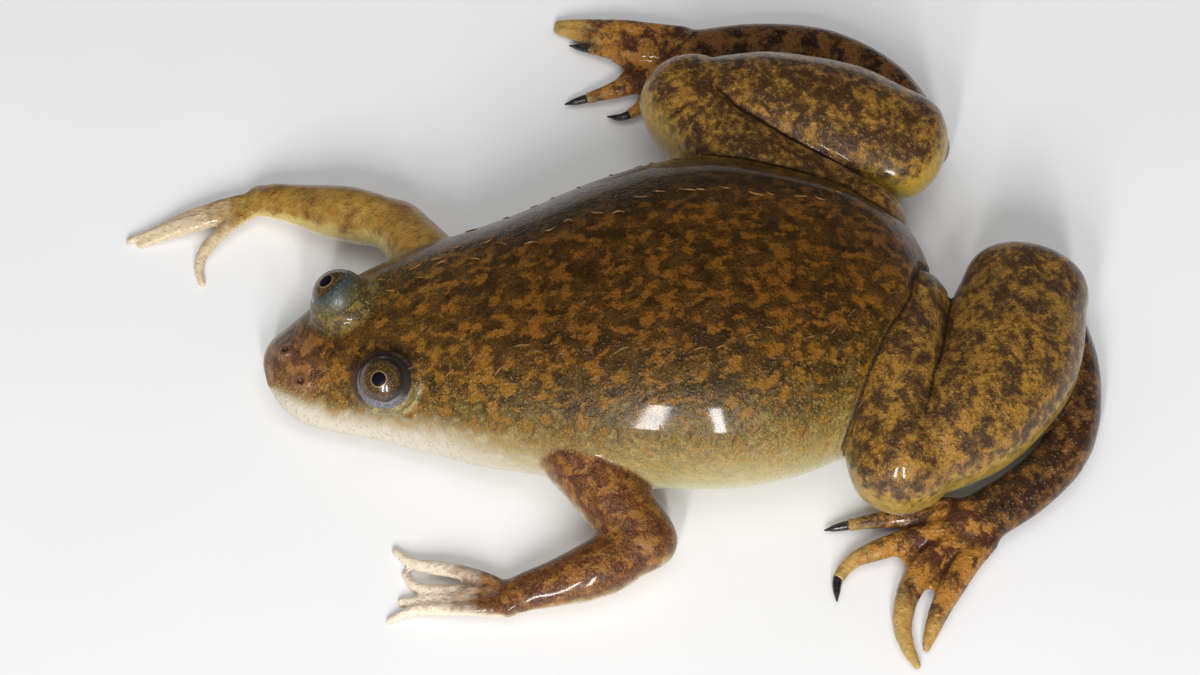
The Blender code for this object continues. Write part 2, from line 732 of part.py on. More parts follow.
def main():
    clear_scene()
    skin = make_material("frog_skin", SKIN_COLOUR, 0.25)
    eye_gloss = make_material("frog_eye", EYE_COLOUR, 0.05)
    horn = make_material("frog_claw", CLAW_COLOUR, 0.3)
    pieces = [make_head(skin), make_torso(skin)]
    for side, sign in (("l", 1), ("r", -1)):
        pieces.append(eye_ball("eye_" + side, sign, material=eye_gloss))
        pieces += make_arm(side, skin)
        pieces += make_leg(side, skin, horn)
    gather(pieces, "african_clawed_frog")
    bpy.context.view_layer.update()
    centre_on_floor(pieces)


main()
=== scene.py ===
"""An African clawed frog at life size: its skin, eyes, lids, lateral line and claws over its solids."""
import math
from collections import namedtuple

import bmesh
import bpy
import numpy as np
from mathutils import Matrix, Vector
from mathutils.bvhtree import BVHTree
from mathutils.kdtree import KDTree


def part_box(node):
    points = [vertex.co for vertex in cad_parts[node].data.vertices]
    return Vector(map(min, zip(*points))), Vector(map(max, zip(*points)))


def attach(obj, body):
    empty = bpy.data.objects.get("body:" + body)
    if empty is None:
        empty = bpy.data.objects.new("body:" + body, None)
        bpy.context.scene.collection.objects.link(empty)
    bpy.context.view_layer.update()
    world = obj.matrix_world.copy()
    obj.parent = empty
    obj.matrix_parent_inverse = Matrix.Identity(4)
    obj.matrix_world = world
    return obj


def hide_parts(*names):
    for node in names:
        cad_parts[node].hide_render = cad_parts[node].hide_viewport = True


bl_info = {
    "name": "African clawed frog",
    "version": (1, 0, 0),
    "blender": (4, 5, 0),
    "location": "3D View > Sidebar > Frog",
    "description": "Builds the frog's skin, eyes, lateral line, claws and studio round its solids",
    "category": "Object",
}

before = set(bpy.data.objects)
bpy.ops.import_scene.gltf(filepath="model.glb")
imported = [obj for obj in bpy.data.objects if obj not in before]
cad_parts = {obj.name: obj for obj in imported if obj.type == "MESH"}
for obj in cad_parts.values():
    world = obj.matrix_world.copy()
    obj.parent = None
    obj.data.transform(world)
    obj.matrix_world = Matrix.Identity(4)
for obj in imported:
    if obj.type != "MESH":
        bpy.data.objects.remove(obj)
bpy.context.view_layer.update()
MM = 0.001

# The body's own measures, in millimetres and degrees, as in its solids
SNOUT_Y, SNOUT_VENT = -45.6, 92.0
SNOUT_TOP_POWER, TOP_POWER, BELLY_POWER = 1.55, 2.2, 2.5  # squareness of the sections
WEDGE_ALONG = 4.0
BODY_SIDES, BODY_RINGS = 128, 220
# Sections from snout to vent, each with the values that Section names
Section = namedtuple("Section", "along sway turn half_width widest rise drop")
BODY = (
    (1.1, -5.6, 10, 3.6, 4.0, 1.9, 1.7),
    (2.2, -5.6, 11, 5.6, 4.0, 2.9, 2.7),
    (4.0, -5.5, 13, 7.4, 4.0, 4.0, 3.6),
    (7.0, -5.3, 15, 9.2, 4.1, 5.5, 4.1),
    (10.5, -5.1, 15, 10.9, 4.3, 7.0, 4.5),
    (14.0, -4.8, 14, 12.8, 4.6, 8.2, 4.8),
    (19.0, -4.2, 10, 15.1, 5.2, 9.5, 5.5),
    (26.0, -3.2, 1, 17.1, 6.4, 11.4, 6.7),
    (36.0, -1.9, -5, 19.5, 7.6, 13.7, 7.9),
    (46.0, -1.0, -5, 22.6, 8.4, 15.4, 8.7),
    (58.0, 0.2, 0, 25.1, 8.8, 16.0, 9.1),
    (68.0, 0.2, 4, 24.8, 8.8, 15.3, 9.1),
    (77.0, -0.6, 8, 21.4, 8.8, 13.6, 8.8),
    (84.0, -2.2, 10, 15.8, 9.0, 11.0, 7.6),
    (88.5, -3.2, 10, 9.8, 9.4, 7.6, 5.6),
    (91.2, -3.7, 10, 4.8, 9.8, 3.8, 3.4),
)
EYE_ALONG, EYE_HEIGHT, EYE_SPACING = 13.8, 12.6, 15.4
EYE_LOOK, PUPIL_LOOK = (0.36, 0.30, 0.88), (0.30, 0.36, 0.88)  # out, ahead and up
EYE_RING_RADIUS, EYE_RING_LIFT = 3.82, 0.15
MOUND_RADII, MOUND_SINK = (4.6, 5.0, 3.9), 2.0
NOSTRIL_ALONG, NOSTRIL_SPACING, NOSTRIL_RIM = 4.4, 3.9, (1.15, 1.25, 0.75)
NOSTRIL_PIT = (0.25, -0.3, 0.5)  # out, back and up from the middle of the rim
FEELER_ALONG, FEELER_DEG, FEELER_LENGTH, FEELER_RADII, FEELER_RINGS = 14.8, 58, 1.9, (0.6, 0.36), 8
FEELER_LIFTS, FEELER_LEAN = (-0.5, 1.0), 0.5
MOUTH_END_ALONG, MOUTH_FRONT_ALONG, MOUTH_DROP_DEG, MOUTH_LIFT, MOUTH_TIP_DROP = 18.5, 1.2, 14.0, 0.1, 0.7
MOUTH_STATIONS, MOUTH_POINTS = 9, 400
HEAD_LENGTH, HEAD_HALF_WIDTH = 24.0, 20.0
SIDES = {"l": 1, "r": -1}
LIMB_NODES = ("upper_arm", "forearm", "hand", "thigh", "shank", "tarsus", "foot")
WRIST = {"l": (32.8, -17.4, 3.0), "r": (-36.6, -39.5, 3.2)}
KNEE = {"l": (28.2, 35.0, 10.0), "r": (-36.6, 20.6, 10.0)}
HEEL = {"l": (2.8, 59.8, 9.2), "r": (-22.6, 49.6, 9.2)}
ANKLE = {"l": (33.8, 45.6, 2.4), "r": (-50.2, 25.4, 2.4)}
# Where the pale belly ends: distance behind the snout, and height round the section from its widest line
BELLY_EDGE = (
    (0, 58), (3, 40), (5, 30), (8, 18), (14, 17), (21, 18), (26, 13), (32, 7), (38, 0), (60, 2), (92, 0),
)
# Folds where two nodes press together: the nodes, the depth in millimetres, and the joint near which it fades
FOLDS = (
    ("thigh", "shank", 0.75, KNEE), ("shank", "tarsus", 0.7, HEEL), ("thigh", "torso", 0.65, None),
    ("shank", "torso", 0.6, None), ("upper_arm", "torso", 0.25, None), ("foot", "shank", 0.4, None),
    ("foot", "thigh", 0.4, None),
)
FOLD_REACH, FOLD_FULL, FOLD_WIDTH, FOLD_JOINT_FADE = 3.4, 0.6, 0.65, (5.5, 10.0)
FOLD_ROUNDS, DIGIT_FOLD_LOSS = 3, 0.8
SEAM_WIDTH, SEAM_FULL_DEPTH = 0.30, 0.6
# Where the face ends and the digits begin, and how far the skin is drawn in to the solids' outline
FACE_LENGTH, HEAD_FADE, DIGIT_START = 21, (27, 22), (1.5, 5.5)
SKIN_SHRINK, DIGIT_SHRINK = 0.02, 0.10
FAIR_IN, FAIR_OUT, FAIR_MIX = 0.5, -0.53, 0.6
# Rounds of smoothing: of the skin at first, over its joints, after that and after its folds, and of the
# masks of its parts; and how firmly the joints are smoothed, and how much of that the face is spared
FAIR_FIRST, RELAX_ROUNDS, FAIR_AFTER, FAIR_FOLDS, FAIR_TRUNK = 10, 45, 6, 3, 4
PART_ROUNDS, MARK_ROUNDS, NORMAL_ROUNDS, UP_ROUNDS = 12, 14, 6, 4
RELAX_WEIGHT, FACE_SPARED = 0.9, 0.85
LEAST_SKIN_FACES = 50000
# Ridges and grooves of the face: height, distance of the top from the line or point, and width
UPPER_LIP, LOWER_LIP, MOUTH_CUT, MOUTH_FADE = (0.30, 1.0, 0.75), (0.10, 0.8, 0.6), (0.55, 0.0, 0.22), 0.06
NOSTRIL_LIP, NOSTRIL_DEPTH, NOSTRIL_RADIUS = (0.20, 0.8, 0.3), 0.7, 0.38
# Distances between which marks fade in: behind the snout, to the left, and from points of the face
FRONT_FADE, RIGHT_FADE, SNOUT_FADE = (44.0, 18.0), (-8.0, -14.0), (10.0, 4.5)
RIM_FADE, BROW_FADE, DOME_FADE, PIT_FADE = (5.6, 4.6), (4.75, 4.1), (6.4, 5.2), (1.3, 0.15)
# The way out and down from an eye, and how squarely the rim and the brow lie in it
SOCKET_WAY, RIM_FACING, BROW_FACING = (0.95, -0.30), (0.25, 0.80), (0.5, 0.0)
SNOUT_SPOT = (1.0, 70)  # distance behind the snout, and height round the section in degrees
HEIGHT_UNIT = 30  # degrees round the section
# The jaw's pale edge lies lower on the right of the snout: by how many degrees, and where that fades in
RIGHT_JAW_DROP, RIGHT_JAW_ALONG, RIGHT_JAW_SIDE = 42, (13.0, 4.0), (1.0, -2.0)
# A lid's direction outwards and ahead, its half width and how far it reaches over the eye in degrees,
# between which distances towards the opening it turns olive, and the thickness of the rim round the eye
Lid = namedtuple("Lid", "out ahead spread reach olive rim")
LIDS = {"l": Lid(0.9, 1.2, 98, 38, (0.6, -0.6), 0.62), "r": Lid(-1.0, -0.35, 125, 57, (2.8, 1.2), 0.34)}
LID_STEPS, LID_ROWS, LID_INNER_DEG, LID_OUTER_DEG, LID_CORNER_POWER = 72, 8, 86, 88, 0.7
LID_EDGE, LID_THICKNESS, LID_SINK, LID_ROUNDING = 0.02, 0.11, 0.15, 2.5
# Rows of the lateral line: height round the section in degrees, first and last distance behind the snout and
# the step between stitches in millimetres, and their tilt in degrees
STITCH_ROWS = ((64, 17, 84, 3.3, 18), (52, 20, 33, 3.1, 8), (26, 30, 82, 4.0, 62))
STITCH_RINGS, STITCH_SIDES, STITCH_BEND, STITCH_MAX_GAP, STITCH_PALE_HEIGHTS = 9, 8, 0.45, 1.5, (13, 9)
STEP_JITTER, HEIGHT_JITTER, TILT_JITTER, STITCH_SHARE, SHARE_JITTER = 0.25, 5, 24, 0.85, 0.3
STITCH_RAISED, STITCH_TAPER, STITCH_TAPER_POWER = 0.1, 0.65, 2.5
SAME_PLANE = 0.999
# Tints that the skin's patterns are mixed with, from the back to the toes and fingers
# The back's shade tint is painted shade, laid over the far side and the top of the back
BACK_PAINTED_SHADE, FLANK_TINT, BELLY_PALE = (0.018, 0.0085, 0.0015), (1.0, 1.28, 1.35), (0.60, 0.56, 0.43)
# The legs' brown tint is painted shade on the tops of the right hind legs
LEG_PAINTED_SHADE, LEG_YELLOW, LEG_SAND = (0.050, 0.022, 0.007), (0.48, 0.31, 0.03), (0.42, 0.28, 0.045)
TOE_TIP, ARM_OCHRE, ARM_YELLOW = (0.50, 0.34, 0.10), (0.43, 0.27, 0.05), (0.52, 0.40, 0.125)
FINGER_GRAIN, FINGER_OCHRE = (0.42, 0.28, 0.15), (0.42, 0.30, 0.11)
# The seam's dark tint is painted shade in the folds
# The skin's dot tint is partly the pale tips of the granules and partly painted glints on them
GRANULE_TIP_AND_GLINT, FOLD_PAINTED_SHADE = (0.42, 0.31, 0.07), (0.016, 0.007, 0.003)
# Tints round the eyes and nostrils, of the eyes themselves, and of the palest stitches and claws
SOCKET_DARK, SOCKET_PALE = (0.16, 0.12, 0.04), (0.32, 0.27, 0.12)
# The brow's tint is painted shadow of the lid along the top of the left eye
DOME_DARK, DOME_PALE, BROW_PAINTED_SHADOW = (0.060, 0.042, 0.014), (0.18, 0.125, 0.028), (0.024, 0.017, 0.015)
# The nostrils' dark tint is painted shade in their openings
NOSTRIL_RUST, NOSTRIL_PAINTED_SHADE = (0.125, 0.042, 0.022), (0.016, 0.006, 0.005)
IRIS_DARK, IRIS_EDGE, PUPIL_BLACK = (0.030, 0.018, 0.008), (0.016, 0.014, 0.011), (0.004, 0.004, 0.009)
RIM_PALE, LID_OLIVE_PALE = (0.17, 0.17, 0.155), (0.20, 0.17, 0.045)
STITCH_PALE, CLAW_PALE = (0.33, 0.25, 0.09), (0.05, 0.042, 0.038)
# Lamps: name, place, size, watts and whether they show as reflections
LAMPS = (
    ("key_front", (0.616, -0.257, 0.40), (0.05, 0.34), 3.2, True),
    ("key_rear", (0.665, -0.058, 0.40), (0.05, 0.34), 3.2, True),
    ("overhead", (0.05, 0.0, 1.1), (0.8, 0.8), 3.0, False),
)
SKY, FILL, FILL_MIRRORED = (0.965, 0.97, 0.99, 1.0), 0.348, 0.014
TARGET, SENSOR_WIDTH, FLOOR_RADIUS = (0, 0, 10), 36, 3.0
WELD = 1e-6
UP = Vector((0, 0, 1))


def colour(name, description, default):
    return bpy.props.FloatVectorProperty(name=name, description=description, subtype="COLOR", default=default)


def length(name, description, default):
    return bpy.props.FloatProperty(name=name, description=description, default=default, precision=5,
                                   unit="LENGTH")


def angle(name, description, degrees):
    return bpy.props.FloatProperty(name=name, description=description, default=math.radians(degrees),
                                   unit="ROTATION")


class FrogSkinSettings(bpy.types.PropertyGroup):
    voxel: length("Mesh size", "Length of a face's edge on the skin", 0.0003)
    swell: length("Joint closing", "How far each solid is swollen so that the joints close", 0.00018)
    granule: length("Granule size", "Distance between the small domes of the skin", 0.0006)
    back_dark: colour("Back, dark", "Darkest brown of the back", (0.022, 0.0105, 0.0020))
    back_pale: colour("Back, pale", "Orange of the spots of the back", (0.225, 0.084, 0.006))
    head_dark: colour("Head, dark", "Darkest brown of the head", (0.029, 0.0145, 0.0040))
    head_pale: colour("Head, pale", "Orange of the spots of the head", (0.250, 0.105, 0.011))
    snout_dark: colour("Snout, dark", "Brown of the snout", (0.075, 0.034, 0.016))
    snout_pale: colour("Snout, pale", "Rust of the snout", (0.330, 0.150, 0.050))
    flank_dark: colour("Flank, dark", "Olive of the flank", (0.120, 0.075, 0.015))
    flank_pale: colour("Flank, pale", "Yellow of the flank", (0.380, 0.270, 0.075))
    belly: colour("Belly", "Yellowish cream of the belly", (0.440, 0.390, 0.210))
    jaw: colour("Jaw", "Pale grey of the lips and throat", (0.520, 0.470, 0.380))
    leg_dark: colour("Hind leg, dark", "Brown of the blotches of the hind legs", (0.036, 0.0175, 0.0080))
    leg_pale: colour("Hind leg, pale", "Ochre of the hind legs", (0.320, 0.160, 0.023))
    shin_dark: colour("Shin, dark", "Darkest brown above the foot", (0.018, 0.008, 0.005))
    shin_pale: colour("Shin, pale", "Rust above the foot", (0.200, 0.085, 0.018))
    toe_dark: colour("Toes, dark", "Brown of the bands of the toes", (0.045, 0.016, 0.008))
    toe_pale: colour("Toes, pale", "Ochre of the toes", (0.410, 0.180, 0.030))
    arm_dark: colour("Arm, dark", "Red brown of the arms", (0.052, 0.017, 0.007))
    arm_pale: colour("Arm, pale", "Orange of the arms", (0.265, 0.112, 0.021))
    finger: colour("Fingers", "Pale grey pink of the fingers", (0.760, 0.650, 0.510))


class FrogEyeSettings(bpy.types.PropertyGroup):
    radius: length("Eye radius", "Radius of an eyeball", 0.0037)
    pupil: angle("Pupil", "Half angle of the pupil", 15)
    iris: angle("Iris", "Half angle of the iris", 54)
    bronze: colour("Iris colour", "Bronze of the iris", (0.120, 0.062, 0.018))
    gold: colour("Ring", "Pale gold round the pupil", (0.420, 0.300, 0.130))
    rim: colour("Rim", "Dark teal outside the iris", (0.022, 0.028, 0.026))
    lid_l: colour("Left lid", "Grey of the left eye's translucent lid", (0.090, 0.082, 0.088))
    lid_r: colour("Right lid", "Teal grey of the right eye's lid", (0.032, 0.042, 0.037))
    lid_olive: colour("Lid, olive", "Olive of the lid where it meets the head", (0.060, 0.052, 0.018))


class FrogPartSettings(bpy.types.PropertyGroup):
    stitch_length: length("Stitch length", "Length of one sense organ of the lateral line", 0.0022)
    stitch_width: length("Stitch width", "Width of one sense organ", 0.00028)
    stitch: colour("Stitches", "Ochre of the lateral line", (0.190, 0.095, 0.028))
    claw: colour("Claws", "Black horn of the claws", (0.012, 0.010, 0.010))
    claw_sleeve: length("Claw sleeve", "How far a claw reaches back over its toe", 0.0007)


class FrogStudioSettings(bpy.types.PropertyGroup):
    azimuth: angle("Camera direction", "Direction of the camera round the frog", 78)
    elevation: angle("Camera height", "Angle of the camera above the floor", 57)
    distance: length("Camera distance", "Distance from the camera to the frog", 0.5)
    lens: bpy.props.FloatProperty(
        name="Lens", description="Focal length on a 36 mm sensor", default=110.4, unit="CAMERA")
    floor: colour("Floor", "Pale floor", (0.82, 0.82, 0.82))


def distance(points, place):
    return np.linalg.norm(points - np.array(place), axis=1)


def bell(values, width, power=2):
    """1 at 0, and falling off towards 0 past the width."""
    return np.exp(-(values / width) ** power)


def eased(values, low, high):
    """0 below low, 1 above high and eased between; the other way round where high is less."""
    t = np.clip((values - low) / (high - low), 0, 1)
    return t * t * (3 - 2 * t)


def smooth_rows(rows, count):
    """Rows of numbers, resampled to count rows on a smooth curve through them."""
    rows = np.array(rows, dtype=float)
    gaps = np.maximum(np.linalg.norm(np.diff(rows, axis=0), axis=1), 1e-6) ** 0.5
    knots = np.concatenate([[0.0], np.cumsum(gaps)])
    at = np.linspace(0, knots[-1], count)
    k = np.clip(np.searchsorted(knots, at, side="right") - 1, 0, len(rows) - 2)
    before, after = np.maximum(k - 1, 0), np.minimum(k + 2, len(rows) - 1)
    step = (knots[k + 1] - knots[k])[:, None]
    t = (at - knots[k])[:, None] / step
    slope_in = (rows[k + 1] - rows[before]) / (knots[k + 1] - knots[before])[:, None] * step
    slope_out = (rows[after] - rows[k]) / (knots[after] - knots[k])[:, None] * step
    return (rows[k] * (2 * t**3 - 3 * t**2 + 1) + slope_in * (t**3 - 2 * t**2 + t)
            + rows[k + 1] * (3 * t**2 - 2 * t**3) + slope_out * (t**3 - t**2))


FINE_BODY = smooth_rows(BODY, 600)


def body_at(along):
    """The body's section at a distance behind the snout."""
    return Section(*FINE_BODY[np.argmin(np.abs(FINE_BODY[:, 0] - along))])


def top_power(along):
    """Squareness of a section's upper half: a wedge at the snout, full from the eyes back."""
    return SNOUT_TOP_POWER + (TOP_POWER - SNOUT_TOP_POWER) * float(eased(along, WEDGE_ALONG, EYE_ALONG))


def body_axes(section):
    """Middle of a section, its direction to the left and its direction ahead."""
    turn = math.radians(section.turn)
    middle = Vector((section.sway, SNOUT_Y + section.along, section.widest))
    across = Vector((math.cos(turn), math.sin(turn), 0))
    return middle, across, Vector((across.y, -across.x, 0))


def body_point(along, degrees, lift=0.0):
    """A point of the body's surface at an angle up from its left side, moved out by lift."""
    section = body_at(along)
    middle, across, _ = body_axes(section)
    c, s = math.cos(math.radians(degrees)), math.sin(math.radians(degrees))
    power, height = (top_power(along), section.rise) if s >= 0 else (BELLY_POWER, section.drop)
    out = (section.half_width + lift) * math.copysign(abs(c) ** (2 / power), c)
    return middle + across * out + UP * (height + lift) * math.copysign(abs(s) ** (2 / power), s)


def eye_axes(side, look=EYE_LOOK):
    """Centre of an eyeball, and a direction given as its parts outwards, ahead and up."""
    middle, across, ahead = body_axes(body_at(EYE_ALONG))
    out = across * SIDES[side]
    centre = Vector((middle.x, middle.y, EYE_HEIGHT)) + out * EYE_SPACING / 2
    return centre, (out * look[0] + ahead * look[1] + UP * look[2]).normalized()


def basis(x, z):
    """A turn whose z axis is z and whose x axis is as near as may be to x."""
    z = z.normalized()
    x = (x - z * x.dot(z)).normalized()
    return Matrix((x, z.cross(x), z)).transposed()


def box_middle(node):
    low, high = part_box(node)
    return (low + high) / 2


OFFSET = sum(((box_middle(f"eye_{s}") / MM - eye_axes(s)[0]) for s in SIDES), Vector()) / 2


def to_frame(points):
    """Drawing millimetres to metres in the frame."""
    return (np.asarray(points, dtype=float) + np.array(OFFSET)) * MM


def from_frame(points):
    return np.asarray(points, dtype=float) / MM - np.array(OFFSET)


def add_loops(shape, rings):
    return [[shape.verts.new(point) for point in to_frame(ring)] for ring in rings]


def join_loops(shape, loops):
    """Adds a band of faces between each loop of a bmesh's points and the next."""
    for low, high in zip(loops, loops[1:]):
        for i in range(len(low)):
            shape.faces.new((low[i - 1], low[i], high[i], high[i - 1]))


def loft(shape, rings, first_pole, last_pole):
    """Adds a closed loft to a bmesh, through rings of drawing points, with a pole at each end."""
    loops = add_loops(shape, rings)
    join_loops(shape, loops)
    for pole, loop in ((first_pole, loops[0]), (last_pole, loops[-1])):
        tip = shape.verts.new(to_frame(pole))
        for i in range(len(loop)):
            shape.faces.new((loop[i - 1], loop[i], tip))


def circle(middle, first, second, radius, sides):
    """Drawing points round a circle that starts at its first axis."""
    turns = (2 * math.pi * k / sides for k in range(sides))
    return [middle + (first * math.cos(a) + second * math.sin(a)) * radius for a in turns]


def add_ball(shape, centre, radii):
    """Adds an ellipsoid to a bmesh, at a drawing point."""
    place = Matrix.Translation(Vector(to_frame(centre)))
    size = Matrix.Diagonal((*(r * MM for r in radii), 1))
    bmesh.ops.create_uvsphere(shape, u_segments=32, v_segments=20, radius=1, matrix=place @ size)


def add_tube(shape, line, radii, sides=10):
    """Adds a round tube with closed ends to a bmesh, along drawing points."""
    line = [Vector(p) for p in line]
    rings = []
    for i, point in enumerate(line):
        ahead = (line[min(i + 1, len(line) - 1)] - line[max(i - 1, 0)]).normalized()
        across = ahead.cross(UP if abs(ahead.z) < 0.9 else Vector((1, 0, 0))).normalized()
        rings.append(circle(point, across, across.cross(ahead), radii[i], sides))
    loft(shape, rings, line[0], line[-1])


def add_torus(shape, ring, radius, sides=16):
    """Adds a closed tube to a bmesh, round a ring of drawing points."""
    middle = sum(ring, Vector()) / len(ring)
    axis = (ring[0] - middle).cross(ring[len(ring) // 4] - middle).normalized()
    rings = [circle(point, (point - middle).normalized(), axis, radius, sides) for point in ring]
    loops = add_loops(shape, rings)
    join_loops(shape, loops + loops[:1])


def node_shape(name):
    """A node's mesh as a bmesh, with its points welded."""
    shape = bmesh.new()
    shape.from_mesh(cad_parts[name].data)
    bmesh.ops.remove_doubles(shape, verts=shape.verts, dist=WELD)
    return shape


def finish_mesh(shape, name, material):
    """Turns a bmesh into a linked, smooth-shaded piece."""
    bmesh.ops.recalc_face_normals(shape, faces=shape.faces)
    mesh = bpy.data.meshes.new(name)
    shape.to_mesh(mesh)
    shape.free()
    mesh.shade_smooth()
    mesh.materials.append(material)
    made = bpy.data.objects.new(name, mesh)
    bpy.context.scene.collection.objects.link(made)
    return made


Tones = namedtuple("Tones", "dark pale grit")


class Value:
    """A number that varies over a surface. Python's operators on it add Math nodes."""

    def __init__(self, shader, socket):
        self.shader, self.socket = shader, socket

    def math(self, operation, *others):
        return self.shader.math(operation, self, *others)

    def __add__(self, other):
        return self.math("ADD", other)

    __radd__ = __add__

    def __sub__(self, other):
        return self.math("SUBTRACT", other)

    def __rsub__(self, other):
        return self.shader.math("SUBTRACT", other, self)

    def __mul__(self, other):
        return self.math("MULTIPLY", other)

    __rmul__ = __mul__

    def power(self, exponent):
        return self.math("POWER", exponent)

    def smooth(self, low, high):
        """0 below low, 1 above high and eased between; the other way round where high is less."""
        node = self.shader.node(
            "ShaderNodeMapRange", {"interpolation_type": "SMOOTHSTEP"},
            {"Value": self, "From Min": low, "From Max": high, "To Min": 0.0, "To Max": 1.0})
        return Value(self.shader, node.outputs["Result"])


class Tree:
    """A node tree that nodes are added to."""

    def __init__(self, tree):
        self.tree = tree

    def node(self, kind, settings=None, sockets=None):
        """Adds a node. Its settings are made before its sockets are given values or links."""
        made = self.tree.nodes.new(kind)
        for name, value in (settings or {}).items():
            setattr(made, name, value)
        for key, value in (sockets or {}).items():
            if isinstance(key, str):
                socket = next((s for s in made.inputs if s.identifier == key), None) or made.inputs[key]
            else:
                socket = made.inputs[key]
            value = value.socket if isinstance(value, Value) else value
            if isinstance(value, bpy.types.NodeSocket):
                self.tree.links.new(value, socket)
            elif socket.type == "RGBA" and len(value) == 3:
                socket.default_value = (*value, 1.0)
            else:
                socket.default_value = value
        return made


class Shader(Tree):
    """A material's node tree, with its Principled surface."""

    def __init__(self, name, **constants):
        self.material = bpy.data.materials.new(name)
        self.material.use_nodes = True
        super().__init__(self.material.node_tree)
        self.surface = next(n for n in self.tree.nodes if n.type == "BSDF_PRINCIPLED")
        for socket, value in constants.items():
            self.surface.inputs[socket.replace("_", " ")].default_value = value
        where = self.node("ShaderNodeTexCoord").outputs["Object"]
        self.place = self.node("ShaderNodeVectorMath", {"operation": "SCALE"},
                               {0: where, "Scale": 1 / MM}).outputs[0]

    def attribute(self, name):
        return Value(self, self.node("ShaderNodeAttribute", {"attribute_name": name}).outputs["Fac"])

    def math(self, operation, *values):
        node = self.node("ShaderNodeMath", {"operation": operation}, dict(enumerate(values)))
        return Value(self, node.outputs[0])

    def vector(self, operation, *values, output="Vector"):
        node = self.node("ShaderNodeVectorMath", {"operation": operation}, dict(enumerate(values)))
        return node.outputs[output]

    def moved(self, reach, noise):
        """The place pushed about by a noise's colour."""
        return self.vector("MULTIPLY_ADD", noise.outputs["Color"], (reach,) * 3, self.place)

    def along(self, direction, origin=(0, 0, 0)):
        """How far the place lies from an origin in a direction, in millimetres."""
        apart = self.vector("SUBTRACT", self.place, origin)
        return Value(self, self.vector("DOT_PRODUCT", apart, direction, output="Value"))

    def noise(self, scale, detail=2.0, roughness=0.5, distortion=0.0, vector=None):
        node = self.node("ShaderNodeTexNoise", {}, {
            "Vector": vector or self.place, "Scale": scale, "Detail": detail, "Roughness": roughness,
            "Distortion": distortion})
        return Value(self, node.outputs["Fac"])

    def cells(self, scale, smoothness):
        """How far each place is from the middle of its cell."""
        node = self.node("ShaderNodeTexVoronoi", {"feature": "SMOOTH_F1"}, {
            "Vector": self.place, "Scale": scale, "Smoothness": smoothness})
        return Value(self, node.outputs["Distance"])

    def mix(self, factor, a, b, how="MIX"):
        """Colour a where the factor is 0 and colour b where it is 1."""
        node = self.node("ShaderNodeMix", {"data_type": "RGBA", "blend_type": how},
                         {"Factor_Float": factor, "A_Color": a, "B_Color": b})
        return next(s for s in node.outputs if s.identifier == "Result_Color")

    def mottle(self, tones, dark, pale, shift=0.0):
        """Pale spots and dark patches on a grained ground between the two colours; more of the pale ones
        where shift is above 0."""
        speck = tones.grit.smooth(-0.13, 0.15)

        def grained(tint, low, high):
            return self.mix(speck, [low * c for c in tint], [high * c for c in tint])

        skin = grained([math.sqrt(d * p) for d, p in zip(dark, pale)], 0.52, 1.7)
        patches = (tones.dark + tones.grit * 0.6 - shift).smooth(0.43, 0.64)
        skin = self.mix(patches * 0.92, skin, grained(dark, 0.8, 2.2))
        spots = (tones.pale + tones.grit * 0.5 + shift).smooth(0.47, 0.68)
        return self.mix(spots * 0.95, skin, grained(pale, 0.68, 1.1))

    def feed(self, socket, value):
        self.tree.links.new(value.socket if isinstance(value, Value) else value, self.surface.inputs[socket])

    def bump(self, height, depth, strength=1.0, normal=None):
        """The normal of a surface raised by up to a depth in metres, on top of another bump's normal."""
        sockets = {"Height": height, "Distance": depth, "Strength": strength}
        if normal:
            sockets["Normal"] = normal
        return self.node("ShaderNodeBump", {}, sockets).outputs["Normal"]


class Net:
    """Points of a mesh and the edges between them, for smoothing."""

    def __init__(self, mesh):
        self.count = len(mesh.vertices)
        self.points = from_frame(self.read(mesh.vertices, "co", 3, float))
        self.edges = self.read(mesh.edges, "vertices", 2, np.int64)
        self.degree = np.maximum(np.bincount(self.edges.ravel(), minlength=self.count), 1)
        mesh.calc_loop_triangles()
        self.triangles = self.read(mesh.loop_triangles, "vertices", 3, np.int64)

    @staticmethod
    def read(items, name, width, kind):
        """One value of each of a mesh's items, as an array with a row for each item."""
        values = np.empty(len(items) * width, dtype=kind)
        items.foreach_get(name, values)
        return values.reshape(-1, width)

    def write(self, mesh):
        mesh.vertices.foreach_set("co", to_frame(self.points).ravel())

    def mean(self, values):
        """The mean of each point's neighbours."""
        if values.ndim == 2:
            return np.stack([self.mean(values[:, k]) for k in range(values.shape[1])], axis=1)
        a, b = self.edges.T
        total = np.bincount(a, values[b], self.count) + np.bincount(b, values[a], self.count)
        return total / self.degree

    def spread(self, values, times):
        for _ in range(times):
            values = (1 - FAIR_MIX) * values + FAIR_MIX * self.mean(values)
        return values

    def relax(self, times, weight):
        """Moves points towards their neighbours' mean."""
        weight = np.broadcast_to(weight, self.count)[:, None]
        for _ in range(times):
            self.points = self.points + weight * (self.mean(self.points) - self.points)

    def fair(self, times, weight=1.0):
        """Smooths without shrinking."""
        for _ in range(times):
            self.relax(1, FAIR_IN * weight)
            self.relax(1, FAIR_OUT * weight)

    def normals(self):
        a, b, c = (self.points[self.triangles[:, k]] for k in range(3))
        face = np.cross(b - a, c - a)
        total = np.stack(
            [sum(np.bincount(self.triangles[:, k], face[:, axis], self.count) for k in range(3))
             for axis in range(3)], axis=1)
        return total / np.maximum(np.linalg.norm(total, axis=1, keepdims=True), 1e-12)


